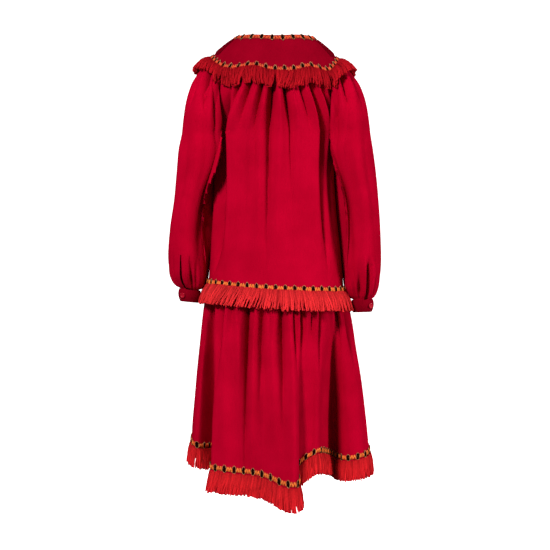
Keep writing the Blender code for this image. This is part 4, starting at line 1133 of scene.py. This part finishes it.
@dataclass(frozen=True)
class Band:
    """A band along a ring of a surface, with distances in metres turned into places on it."""

    surface: Surface
    step: float
    first: float
    last: float
    top: float
    foot: float
    length: float

    def ruler(self) -> tuple[Array, Array]:
        """Places across, and how far along the band's middle line each one is."""
        fine = np.linspace(self.first, self.last, 4000)
        middle = np.full(fine.shape, (self.top + self.foot) / 2)
        line = self.surface(fine, middle)
        steps = np.linalg.norm(np.diff(line, axis=0), axis=1)
        return fine, np.concatenate([[0], np.cumsum(steps)])

    def place(self, reach: Array, down: Array, out: Array) -> Array:
        """Points from a distance along the band, a distance below its middle, and a height above the cloth."""
        fine, reached = self.ruler()
        across = np.interp(np.mod(reach, reached[-1]), reached, fine)
        along = (self.top + self.foot) / 2 + down / self.length
        normals = surface_normals(self.surface, across, along, self.step)
        return self.surface(across, along) + normals * np.asarray(out)[..., None]


@dataclass(frozen=True)
class BraidDye:
    """The colours of one braid's yarns."""

    orange: Colour
    light: Colour
    black: Colour = (0.012, 0.003, 0.002)
    tan: Colour = (0.55, 0.27, 0.12)


@dataclass
class Braid:
    """A woven tape worked with orange stitches and black ovals, each in a loop of tan thread."""

    name: str
    band: Band
    dye: BraidDye
    pitch: float = 0.0243
    phase: float = 0.0
    seed: int = 3

    def units(self) -> tuple[Array, float]:
        """The place of each oval along the band, and the real pitch."""
        total = self.band.ruler()[1][-1]
        count = round(total / self.pitch)
        pitch = total / count
        return (np.arange(count) + self.phase) * pitch, pitch

    def stitch(self, guides: Guides, centre: Array, offset: tuple[float, float], half: float, lean: float,
               radius: float, height: float, dye: Colour, generator: np.random.Generator) -> None:
        """Adds one raised stitch at each centre.

        Args:
            guides: Where the stitches go.
            centre: Places along the band.
            offset: The stitch's middle, along and below the place.
            half: Half of its length down the band.
            lean: How far its top lies ahead of its middle.
            radius: Its thickness over two.
            height: How high its middle stands above the cloth.
            dye: Its colour.
            generator: Draws the small differences from stitch to stitch.
        """
        way = np.array([-1.0, -0.62, 0.0, 0.62, 1.0])
        rise = np.array([0.15, 0.85, 1.0, 0.85, 0.15])
        jitter = generator.normal(0, 0.00022, (len(centre), 3))
        reach = centre[:, None] + offset[0] + jitter[:, :1] - lean * way
        down = offset[1] + way * (half + jitter[:, 1:2])
        base = LAY_GAP + TAPE_THICKNESS
        out = base + radius * 0.2 + (height - base) * rise + jitter[:, 2:] * 0.4
        tone = 1 + generator.normal(0, 0.09, (len(centre), 1))
        guides.add(self.band.place(reach, down, out), radius, np.asarray(dye) * tone)

    def stitches(self, tree: YarnTree, yarn: bpy.types.Material) -> bpy.types.Object:
        """Makes all the stitches on the tape.

        Args:
            tree: Spins the stitches.
            yarn: Their finish.

        Returns:
            The stitches as one piece.
        """
        generator = np.random.default_rng(self.seed)
        centre, pitch = self.units()
        guides = Guides()
        for i in range(OVAL_COLUMNS):
            x = (i - OVAL_COLUMNS // 2) * OVAL_PITCH
            half = OVAL_HEIGHT * math.sqrt(1 - (x / OVAL_WIDTH) ** 2)
            self.stitch(guides, centre, (x, 0.0), half, 0.0, 0.00085, 0.0031, self.dye.black, generator)
        clear = pitch - 2 * OVAL_CLEAR
        count = 8
        for i in range(count):
            share = (i + 0.5) / count
            x = OVAL_CLEAR + clear * share
            lean = 0.0015 if share % 0.5 < 0.25 else -0.0015
            dye = self.dye.orange if i % 3 else self.dye.light
            half = 0.0026 + 0.0024 * abs(math.sin(2 * math.pi * share))
            self.stitch(guides, centre, (x, 0.0), half, lean, 0.00105, 0.0026, dye, generator)
        for hand in (-1, 1):
            turn = np.linspace(-0.5 * math.pi, 0.5 * math.pi, 8)
            reach = centre[:, None] + hand * 0.0042 * np.cos(turn) + generator.normal(0, 0.0002, (len(centre), 1))
            down = 0.0089 * np.sin(turn) + generator.normal(0, 0.0003, (len(centre), 1))
            out = np.full(reach.shape, LAY_GAP + TAPE_THICKNESS + 0.0009) + 0.0006 * np.abs(np.sin(turn))
            guides.add(self.band.place(reach, down, out), 0.00050, self.dye.tan)
        return tree.spin(self.name + "_stitches", guides, 5, yarn)

    def tape(self) -> Cloth:
        """The tape under the stitches."""
        band = self.band
        half = TAPE_HEIGHT / 2 / band.length
        middle = (band.top + band.foot) / 2
        across = spread(band.surface, band.first, band.last, 300, (middle,), 0.01)
        along = middle + half * np.array([-1, -0.8, 0, 0.8, 1])

        def lift(_: Array, down: Array) -> Array:
            """A tape that is a little thinner at its edges."""
            edge = np.abs(down - middle) / half
            return LAY_GAP + TAPE_THICKNESS * (1 - 0.35 * smooth_step((edge - 0.7) / 0.3))

        surface = raised(band.surface, band.step, lift)
        wall = TAPE_THICKNESS * 0.6
        return Cloth(self.name + "_tape", surface, across, along, band.step, wall, closed_from=0)


@dataclass
class Fringe:
    """Two layers of cut yarn that hang from a heading in loose clumps."""

    name: str
    band: Band
    way: Callable[[Array], Array]
    length: float
    lean: Sequence[tuple[float, float]]
    dye: Colour
    pitch: float = 0.0031
    clump: float = 0.0110
    radius: float = 0.00200
    flare: float = 0.45
    droop: float = 0.0
    gather: float = 0.25
    sway: float = 0.06
    stray: float = 0.05
    longest: tuple[float, float, float] = (0.0, 0.0, 1.0)
    seed: int = 5

    def layer(self, guides: Guides, level: int, generator: np.random.Generator) -> None:
        """Adds one layer of yarns, the second one over the first."""
        fine, reached = self.band.ruler()
        total = reached[-1]
        count = int(total / self.pitch)
        reach = (np.arange(count) + 0.5 * level) * total / count + generator.normal(0, 0.0004, count)
        angle = np.interp(np.mod(reach, total), reached, fine)
        clumps = int(total / self.clump)
        bounds = np.sort((np.arange(clumps) + generator.uniform(-0.3, 0.3, clumps)) * total / clumps)
        group = np.searchsorted(bounds, np.mod(reach, total)) % clumps
        centre = np.mod(bounds[(group - 1) % clumps] + 0.5 * self.clump, total)
        toward = np.mod(centre - reach + total / 2, total) - total / 2
        sway = generator.normal(0, self.sway, clumps)[group]
        longer = generator.normal(0, 0.016, clumps)[group]
        zero = np.zeros(count)
        root = self.band.place(reach, np.full(count, -HEADING_HEIGHT * 0.30), 0.0010 + 0.0014 * level)
        side = unit(self.band.place(reach + 0.001, zero, zero) - self.band.place(reach - 0.001, zero, zero))
        turned = one_turn(angle)
        drift = np.interp(turned, *np.array(self.lean).T)
        drift = drift + sway + generator.normal(0, self.stray, count)
        way = self.way(angle)
        normals = self.band.place(reach, zero, zero + 1) - self.band.place(reach, zero, zero)
        share, middle, width = self.longest
        corner = share * np.exp(-(((turned - middle) / width) ** 2))
        reach_down = self.length * (1 + longer + corner + generator.normal(0, 0.03, count))
        outward = 0.04 * level + generator.normal(0, 0.03, count)
        droop = self.droop * np.abs(np.sin(np.radians(angle))) ** 8
        tip = root + (way + side * drift[:, None] + normals * outward[:, None]) * reach_down[:, None]
        tip = tip + side * (toward * self.gather)[:, None]
        knee = root + (way + normals * self.flare + side * drift[:, None] * 0.4) * (reach_down * 0.42)[:, None]
        t = np.linspace(0, 1, 7)[None, :, None]
        points = root[:, None] * (1 - t) ** 2 + knee[:, None] * 2 * t * (1 - t) + tip[:, None] * t**2
        phase = generator.uniform(0, 2 * math.pi, (count, 1, 1))
        points = points + side[:, None] * 0.0013 * np.sin(phase + 8 * t) * t
        points = points + normals[:, None] * 0.0012 * np.cos(phase * 1.7 + 7 * t) * t
        points[..., 2] -= droop[:, None] * t[..., 0] ** 2
        shape = np.array([0.85, 1.0, 1.05, 1.05, 1.0, 0.95, 0.72])
        thick = self.radius * shape * (1 + generator.normal(0, 0.08, (count, 1)))
        # Each fringe yarn is darker towards its root: painted shade under the heading, over a random tone from yarn
        # to yarn.
        tone = (1 + generator.normal(0, 0.16, (count, 1, 1))) * (0.60 + 0.42 * t)
        guides.add(points, thick, np.asarray(self.dye) * tone)

    def build(self, tree: YarnTree, material: bpy.types.Material) -> bpy.types.Object:
        """Makes the fringe as one piece."""
        generator = np.random.default_rng(self.seed)
        guides = Guides()
        for level in (0, 1):
            self.layer(guides, level, generator)
        return tree.spin(self.name + "_yarn", guides, 6, material)


@dataclass
class Trimming:
    """The three bands of braid and fringe, and the neck's braid."""

    body: BodyForm
    sleeves: dict[Side, SleeveForm]

    def cloth_below_yoke(self, angle: Array, along: float) -> Array:
        """The bodice or sleeve that hangs from the yoke's edge at this angle (-180 to 180)."""
        start = RAGLAN_ANGLE[Half.BACK]
        around = (np.abs(angle) - start) / (RAGLAN_ANGLE[Half.FRONT] - start)
        way = np.full(angle.shape, along)
        arms = {side: form.plain(np.clip(around, 0, 1), way) for side, form in self.sleeves.items()}
        arm = np.where((angle < 0)[..., None], arms[Side.LEFT], arms[Side.RIGHT])
        return np.where(((around >= 0) & (around <= 1))[..., None], arm, self.body.torso(angle, way))

    def yoke_way(self, angle: Array) -> Array:
        """From the yoke's edge over the gathered cloth that hangs from it."""
        below = self.cloth_below_yoke(one_turn(angle), 0.30)
        normals = surface_normals(self.body.yoke, angle, np.full(angle.shape, 1.0), TURN_STEP)
        at_shoulder = np.abs(np.sin(np.radians(angle))) ** 8
        rise = FRINGE_RISE + (SHOULDER_RISE - FRINGE_RISE) * at_shoulder
        return unit(below + normals * rise[..., None] - self.body.yoke_edge(angle))

    def hanging(self, along: float, outwards: Callable[[Array], Array]) -> Callable[[Array], Array]:
        """Directions of hanging yarn: down, and out by a share that may change round the body."""

        def way(angle: Array) -> Array:
            """The direction at each angle."""
            normals = surface_normals(self.body.skirt, angle, np.full(angle.shape, along), TURN_STEP)
            normals[..., 2] = 0
            return unit(unit(normals) * outwards(angle)[..., None] - np.array([0, 0, 1.0]))

        return way

    def waist_out(self, angle: Array) -> Array:
        """How far the waist's fringe stands out: less at the sides, where the cuffs hang."""
        beside = np.abs(np.abs(one_turn(angle)) - 90)
        return 0.46 - 0.20 * np.exp(-((beside / 20) ** 2))

    def waist_ring(self, angle: Array, along: Array) -> Array:
        """The dropped waist all round, a little clear of the gathers on both sides of the seam."""
        place = self.body.bodice(Half.BACK, angle, along)
        return pushed(place, 1 + WAIST_CLEARANCE / radius_of(place))

    def bands(self) -> dict[str, Band]:
        """Every band, by its piece's name."""
        body = self.body
        braid = BRAID_HEIGHT / YOKE_LENGTH
        heading = HEADING_HEIGHT / YOKE_LENGTH
        waist = BRAID_HEIGHT / BODICE_LENGTH
        hem = BRAID_HEIGHT / SKIRT_LENGTH
        skirt_heading = HEADING_HEIGHT / SKIRT_LENGTH
        top = LAY_GAP / SKIRT_LENGTH
        foot = 1 + 0.43 * hem
        low = foot + 2 * top
        step = TURN_STEP
        return {
            "neck_braid": Band(body.yoke, step, 0, 360, NECK_HEM, NECK_HEM + braid * 0.95, YOKE_LENGTH),
            "yoke_braid": Band(body.yoke, step, 0, 360, 1.01 - braid, 1.01, YOKE_LENGTH),
            "yoke_fringe": Band(body.yoke, step, 0, 360, 1 - heading, 1, YOKE_LENGTH),
            "waist_braid": Band(self.waist_ring, step, -90, 270, 2 - waist / 2, 2 + waist / 2, BODICE_LENGTH),
            "waist_fringe": Band(body.creased_skirt, step, -90, 270, top, top + skirt_heading, SKIRT_LENGTH),
            "hem_braid": Band(body.creased_skirt, step, -90, 270, 1 - 0.57 * hem, foot, SKIRT_LENGTH),
            "hem_fringe": Band(body.creased_skirt, step, -90, 270, low, low + skirt_heading, SKIRT_LENGTH),
        }

    def braids(self) -> list[Braid]:
        """The four braids."""
        bands = self.bands()
        red = BraidDye(orange=(0.66, 0.065, 0.025), light=(0.74, 0.13, 0.05))
        yellow = BraidDye(orange=(0.86, 0.15, 0.030), light=(0.92, 0.27, 0.06))
        return [
            Braid("neck_braid", bands["neck_braid"], red, pitch=0.0255, phase=0.72, seed=3),
            Braid("yoke_braid", bands["yoke_braid"], red, pitch=0.0230, seed=4),
            Braid("waist_braid", bands["waist_braid"], yellow, pitch=0.0227, phase=0.85, seed=5),
            Braid("hem_braid", bands["hem_braid"], yellow, pitch=0.0230, seed=6),
        ]

    def fringes(self) -> list[Fringe]:
        """The three fringes."""
        bands = self.bands()
        yoke_lean = ((-180, 0.0), (-60, 0.05), (-30, 0.0), (0, 0.05), (12, -0.15), (30, 0.0), (60, 0.05),
                     (180, 0.0))
        waist_lean = ((-180, 0.0), (-60, -0.20), (-45, -0.38), (-20, -0.34), (-5, -0.15), (8, 0.0), (35, 0.05),
                      (60, -0.05), (180, 0.0))
        hem_lean = ((-180, 0.0), (-60, -0.10), (-45, -0.20), (-15, -0.16), (5, 0.0), (15, 0.10), (30, 0.0),
                    (180, 0.0))
        hem_way = self.hanging(1.0, lambda angle: np.full(angle.shape, 0.10))
        waist_way = self.hanging(0.0, self.waist_out)
        return [
            Fringe("yoke_fringe", bands["yoke_fringe"], self.yoke_way, 0.045, yoke_lean, (0.43, 0.006, 0.013),
                   clump=0.014, gather=0.42, sway=0.12, droop=0.018, seed=7),
            Fringe("waist_fringe", bands["waist_fringe"], waist_way, 0.054, waist_lean, (0.80, 0.028, 0.034),
                   seed=8),
            Fringe("hem_fringe", bands["hem_fringe"], hem_way, 0.049, hem_lean, (0.78, 0.017, 0.024),
                   pitch=0.0020, flare=0.2, gather=0.0, sway=0.012, stray=0.022, radius=0.0022,
                   longest=CORNER_FRINGE, seed=9),
        ]


@dataclass(frozen=True)
class Hold:
    """How a piece of cloth is held, and what it lies on or hangs from."""

    held: str
    rests_on: tuple[str, ...]


@dataclass
class Piece:
    """A finished piece, with its slot, the frame's nodes that it replaces, how it is held, its flat cut and what
    lies on it.
    """

    obj: bpy.types.Object
    slot: str
    replaces: tuple[str, ...] = ()
    hold: Hold | None = None
    cut: tuple[float, float, float] = (0.0, 0.0, 0.0)
    on_it: tuple[bpy.types.Object, ...] = ()

    @classmethod
    def of_cloth(cls, cloth: Cloth, node: str, material: bpy.types.Material, slot: str, hold: Hold) -> Piece:
        """Builds a piece of cloth that stands for a node of the frame."""
        return cls(cloth.build(material), slot, (node,), hold, cloth.flat_cut())

    def report(self) -> None:
        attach(self.obj, "root")
        if self.replaces:
            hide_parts(*self.replaces)
        LOG.info("%s: %d faces", self.obj.name, len(self.obj.data.polygons))


@dataclass
class ClothParts:
    """All the cut cloth of the dress."""

    body: BodyForm
    sleeves: dict[Side, SleeveForm]

    def yoke(self, half: Half) -> Cloth:
        """One half of the yoke."""
        across = spread(self.body.yoke, half.value - 90, half.value + 90, 120, (0.0, 1.0), 0.02)
        return Cloth("yoke_" + half.word + "_cloth", self.body.yoke, across, np.linspace(0, 1, 40), TURN_STEP)

    def bodice(self, half: Half) -> Cloth:
        """One half of the bodice."""

        def surface(angle: Array, along: Array) -> Array:
            """The half with its gathers."""
            return self.body.creased_bodice(half, angle, along)

        count = 260 if half is Half.BACK else 190
        across = spread(surface, half.value - 90, half.value + 90, count, (0.15, 0.5, 1.0, 1.9), 0.04)
        return Cloth("bodice_" + half.word + "_cloth", surface, across, rows_between((0, 1, 2), 68), TURN_STEP)

    def skirt(self, half: Half) -> Cloth:
        """One half of the skirt."""
        count = 320 if half is Half.BACK else 230
        surface = self.body.creased_skirt
        across = spread(surface, half.value - 90, half.value + 90, count, (0.10, 0.2, 0.35, 1.0), 0.04)
        hem = 1 + (0.43 * BRAID_HEIGHT + HEADING_HEIGHT) / SKIRT_LENGTH
        along = np.concatenate([np.linspace(0, 0.3, 26), np.linspace(0.3, hem, 38)[1:]])
        return Cloth("skirt_" + half.word + "_cloth", surface, across, along, TURN_STEP)

    def sleeve(self, side: Side) -> Cloth:
        """One sleeve."""
        form = self.sleeves[side]
        slit = SLIT_PLACE[side]
        heights = (0.3, 1.4, 1.95)
        count = 200
        ahead = round(count * slit)
        before = spread(form.creased, 0.0, slit - SLIT_SHARE, ahead, heights, 0.04)
        after = spread(form.creased, slit + SLIT_SHARE, 1.0, count - ahead, heights, 0.04)
        across = np.concatenate([before, after])
        along = rows_between((0.0, 1.0, 1 + SLIT_TOP), 54)
        along = np.concatenate([along, np.linspace(1 + SLIT_TOP, 2, 20)[1:], [2.004, SLEEVE_FOOT]])
        closed = int(np.argmin(np.abs(along - 1.0)))

        def open_cell(row: int, column: int) -> bool:
            """Whether a cell lies in the open slit."""
            return column == ahead and along[row] >= 1 + SLIT_TOP - 1e-9

        opened = open_cell if side is Side.LEFT else None
        return Cloth("sleeve_" + side.value + "_cloth", form.trimmed, across, along, form.step, WALL, closed, opened)

    def cuff(self, side: Side) -> Cloth:
        """One cuff."""
        form = self.sleeves[side]
        across = spread(form.cuff, 0, 1 + CUFF_LAP, 150, (0.5,), 0.004)
        return Cloth("cuff_" + side.value + "_cloth", form.cuff, across, np.linspace(0, 1, 14), form.step)


@dataclass
class Notions:
    """Buttons, plackets and shoulder bands."""

    body: BodyForm
    sleeves: dict[Side, SleeveForm]

    def placket(self, side: Side) -> Cloth:
        """The strip beside a sleeve's slit."""
        form = self.sleeves[side]
        slit = SLIT_PLACE[side]
        if side is Side.LEFT:
            first, last = slit - SLIT_SHARE - 0.052, slit - SLIT_SHARE - 0.004
        else:
            first, last = slit + SLIT_SHARE, slit + SLIT_SHARE + 0.075
        across = np.linspace(first, last, 14)
        along = np.linspace(1 + SLIT_TOP, 1.985, 40)

        def lift(share: Array, way: Array) -> Array:
            """A flat strip with a raised edge on each side."""
            edge = np.minimum(share - first, last - share) / (last - first)
            return LAY_GAP + 0.0016 + 0.0014 * np.exp(-(((edge - 0.10) / 0.07) ** 2))

        surface = raised(form.creased, form.step, lift)
        return Cloth("placket_" + side.value + "_cloth", surface, across, along, form.step, 0.0014)

    def shoulder_band(self, side: Side) -> Cloth:
        """The narrow band over a shoulder, with its rounded end."""
        middle = 79.5 * side.sign
        across = np.linspace(-1, 1, 17)
        along = np.linspace(0, 1, 36)
        first = NECK_HEM + BRAID_HEIGHT * 0.95 / YOKE_LENGTH + 0.02
        last = 1 - (HEADING_HEIGHT + BRAID_HEIGHT) / YOKE_LENGTH - 0.01

        def surface(share: Array, way: Array) -> Array:
            """The band on the yoke, two ridges with a groove between."""
            narrow = np.sqrt(np.clip(1 - np.clip((way - 0.86) / 0.15, 0, 1) ** 2, 0.05, 1))
            angle = middle + 6.2 * share * narrow
            down = first + (last - first) * np.asarray(way)
            normals = surface_normals(self.body.yoke, angle, down, TURN_STEP)
            height = LAY_GAP + 0.0016 + 0.0016 * np.cos(np.asarray(share) * 1.5 * math.pi) ** 2
            return self.body.yoke(angle, down) + normals * height[..., None]

        return Cloth("shoulder_band_" + side.value + "_cloth", surface, across, along, 0.05, 0.0014)

    def button(self, side: Side, material: bpy.types.Material) -> bpy.types.Object:
        """A turned button with a rim, a well and four holes."""
        form = self.sleeves[side]
        across = np.array([1 + CUFF_LAP * 0.45])
        half = np.array([0.5])
        place = form.cuff(across, half)[0]
        normal = surface_normals(form.cuff, across, half, form.step)[0]
        turn = Vector(normal).to_track_quat("Z", "Y").to_matrix().to_4x4()
        r = BUTTON_RADIUS
        t = BUTTON_THICKNESS
        profile = [(0.0, 0.0), (r * 0.70, 0.0), (r * 0.93, t * 0.22), (r, t * 0.55), (r * 0.95, t * 0.88),
                   (r * 0.82, t), (r * 0.66, t * 0.92), (r * 0.52, t * 0.62), (0.0, t * 0.56)]
        body = bmesh.new()
        points = [body.verts.new((x, 0, z)) for x, z in profile]
        for first, second in zip(points, points[1:]):
            body.edges.new((first, second))
        bmesh.ops.spin(body, geom=body.verts[:] + body.edges[:], cent=(0, 0, 0), axis=(0, 0, 1),
                       angle=2 * math.pi, steps=32)
        bmesh.ops.remove_doubles(body, verts=body.verts, dist=1e-6)
        for x, y in ((1, 1), (1, -1), (-1, 1), (-1, -1)):
            spot = bmesh.ops.create_cone(body, cap_ends=True, segments=10, radius1=0.0007, radius2=0.0007,
                                         depth=0.0004)
            bmesh.ops.translate(body, verts=spot["verts"], vec=(x * 0.0013, y * 0.0013, t * 0.58))
        bmesh.ops.recalc_face_normals(body, faces=body.faces)
        bmesh.ops.transform(body, matrix=turn, verts=body.verts)
        bmesh.ops.translate(body, verts=body.verts, vec=place + normal * 0.0003)
        name = "cuff_button_" + side.value + "_horn"
        mesh = bpy.data.meshes.new(name)
        body.to_mesh(mesh)
        body.free()
        mesh.shade_smooth()
        mesh.set_sharp_from_angle(angle=math.radians(50))
        return new_piece(name, mesh, material)


@dataclass
class Studio:
    """The floor, the soft light and the camera of the photograph."""

    centre: tuple[float, float, float] = (0.0, 0.0, CAMERA_HEIGHT)

    def area(self, name: str, place: tuple[float, float, float], size: float, power: float) -> None:
        """Adds a soft square light that faces the dress."""
        light = bpy.data.lights.new(name, "AREA")
        light.size = size
        light.energy = power
        obj = bpy.data.objects.new(name, light)
        obj.location = place
        obj.rotation_euler = (Vector(self.centre) - Vector(place)).to_track_quat("-Z", "Y").to_euler()
        bpy.context.scene.collection.objects.link(obj)

    def floor(self) -> None:
        """Adds the floor, which curves up into a round backdrop. Its own light reaches the camera alone."""
        turn = np.linspace(0, math.pi / 2, 10)
        reach = np.concatenate([[0.01], 3.4 + 1.2 * np.sin(turn), [4.6]])
        height = np.concatenate([[-1.45], -0.25 - 1.2 * np.cos(turn), [4.6]])
        sides = 64
        around = np.arange(sides) * 2 * math.pi / sides
        points = [(r * math.cos(a), r * math.sin(a), z) for r, z in zip(reach, height) for a in around]
        faces = [
            (i * sides + j, i * sides + (j + 1) % sides, (i + 1) * sides + (j + 1) % sides, (i + 1) * sides + j)
            for i in range(len(reach) - 1)
            for j in range(sides)
        ]
        mesh = bpy.data.meshes.new("floor")
        mesh.from_pydata(points, [], faces)
        mesh.shade_smooth()
        floor = new_piece("floor", mesh, pale_floor("pale_floor"))
        floor.visible_diffuse = False
        floor.visible_glossy = False

    def build(self) -> None:
        """Sets up the stage."""
        scene = bpy.context.scene
        self.floor()
        world = bpy.data.worlds.new("studio")
        world.use_nodes = True
        world.node_tree.nodes["Background"].inputs["Color"].default_value = (1, 1, 1, 1)
        world.node_tree.nodes["Background"].inputs["Strength"].default_value = 0.17
        scene.world = world
        for light in LIGHTS:
            self.area(*light)
        camera = bpy.data.cameras.new("camera")
        camera.sensor_width = SENSOR
        camera.lens = SENSOR * CAMERA_DISTANCE / FRAME_WIDTH
        obj = bpy.data.objects.new("camera", camera)
        obj.location = (0.0, -CAMERA_DISTANCE, CAMERA_HEIGHT)
        obj.rotation_euler = (math.pi / 2, 0.0, 0.0)
        scene.collection.objects.link(obj)
        scene.camera = obj
        scene.view_settings.view_transform = "Standard"


def build_dress() -> list[Piece]:
    """Builds every piece of the dress.

    Returns:
        The pieces, in the order in which they are reported.
    """
    body = BodyForm()
    sleeves = {side: SleeveForm(side, body) for side in Side}
    parts = ClothParts(body, sleeves)
    notions = Notions(body, sleeves)
    trimming = Trimming(body, sleeves)
    tree = YarnTree()
    crimson = crepe("crimson_crepe", (0.370, 0.0004, 0.0150), (0.440, 0.0006, 0.0190))
    yoke_crepe = crepe("yoke_crepe", (0.215, 0.0004, 0.009), (0.255, 0.0006, 0.011))
    # The cuffs' crepe is the dress's own cloth made darker: painted shade for the shade that the cuffs hang in.
    cuff_crepe = crepe("cuff_crepe", (0.185, 0.0004, 0.007), (0.220, 0.0006, 0.009))
    # The shoulder bands' crepe is the same cloth made much darker: painted shade on the shoulders' tops, which turn
    # away from the light.
    band_crepe = crepe("band_crepe", (0.10, 0.0003, 0.004), (0.14, 0.0004, 0.006))
    yarn = dyed_yarn("wool_yarn")
    red_tape = woven_tape("neck_tape", (0.20, 0.004, 0.006), (0.36, 0.020, 0.012))
    yellow_tape = woven_tape("hem_tape", (0.26, 0.010, 0.008), (0.46, 0.050, 0.016))
    horn = dyed_horn("horn")
    made = []
    for half in Half:
        word = half.word
        neck = Hold("stretched", ("neck_braid_tape",))
        made.append(Piece.of_cloth(parts.yoke(half), "yoke_" + word, yoke_crepe, "cloth", neck))
        yoke = Hold("gathered", (f"yoke_{word}_cloth",))
        made.append(Piece.of_cloth(parts.bodice(half), "bodice_" + word, crimson, "cloth", yoke))
        waist = Hold("gathered", (f"bodice_{word}_cloth",))
        made.append(Piece.of_cloth(parts.skirt(half), "skirt_" + word, crimson, "cloth", waist))
    for side in Side:
        word = side.value
        shoulder = Hold("gathered", ("yoke_back_cloth", "yoke_front_cloth"))
        made.append(Piece.of_cloth(parts.sleeve(side), "sleeve_" + word, crimson, "cloth", shoulder))
        arm = Hold("stretched", (f"sleeve_{word}_cloth",))
        made.append(Piece.of_cloth(parts.cuff(side), "cuff_" + word, cuff_crepe, "cloth", arm))
        laid = Hold("laid", (f"sleeve_{word}_cloth",))
        made.append(Piece.of_cloth(notions.placket(side), "placket_" + word, crimson, "cloth", laid))
        on_yoke = Hold("laid", ("yoke_back_cloth", "yoke_front_cloth"))
        band = notions.shoulder_band(side)
        made.append(Piece.of_cloth(band, "shoulder_band_" + word, band_crepe, "cloth", on_yoke))
        made.append(Piece(notions.button(side, horn), "button", ("cuff_button_" + word,)))
    below = {
        "neck_braid": "yoke_back_cloth",
        "yoke_braid": "yoke_back_cloth",
        "waist_braid": "bodice_back_cloth",
        "hem_braid": "skirt_back_cloth",
    }
    for braid in trimming.braids():
        finish = red_tape if braid.name in ("neck_braid", "yoke_braid") else yellow_tape
        stitches = braid.stitches(tree, yarn)
        tape = Piece.of_cloth(braid.tape(), braid.name, finish, "braid", Hold("laid", (below[braid.name],)))
        tape.on_it = (stitches,)
        made += [tape, Piece(stitches, "braid")]
    for fringe in trimming.fringes():
        obj = fringe.build(tree, yarn)
        made.append(Piece(obj, "yarn", (fringe.name,)))
    return made


def write_sizes() -> None:
    """Updates the view layer."""
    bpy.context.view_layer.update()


def main() -> None:
    """Builds the dress around its frame and sets up the studio."""
    logging.basicConfig(level=logging.INFO, format="%(message)s")
    for obj in list(bpy.data.objects):
        bpy.data.objects.remove(obj, do_unlink=True)
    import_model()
    for piece in build_dress():
        piece.report()
    Studio().build()
    write_sizes()


if __name__ == "__main__":
    main()
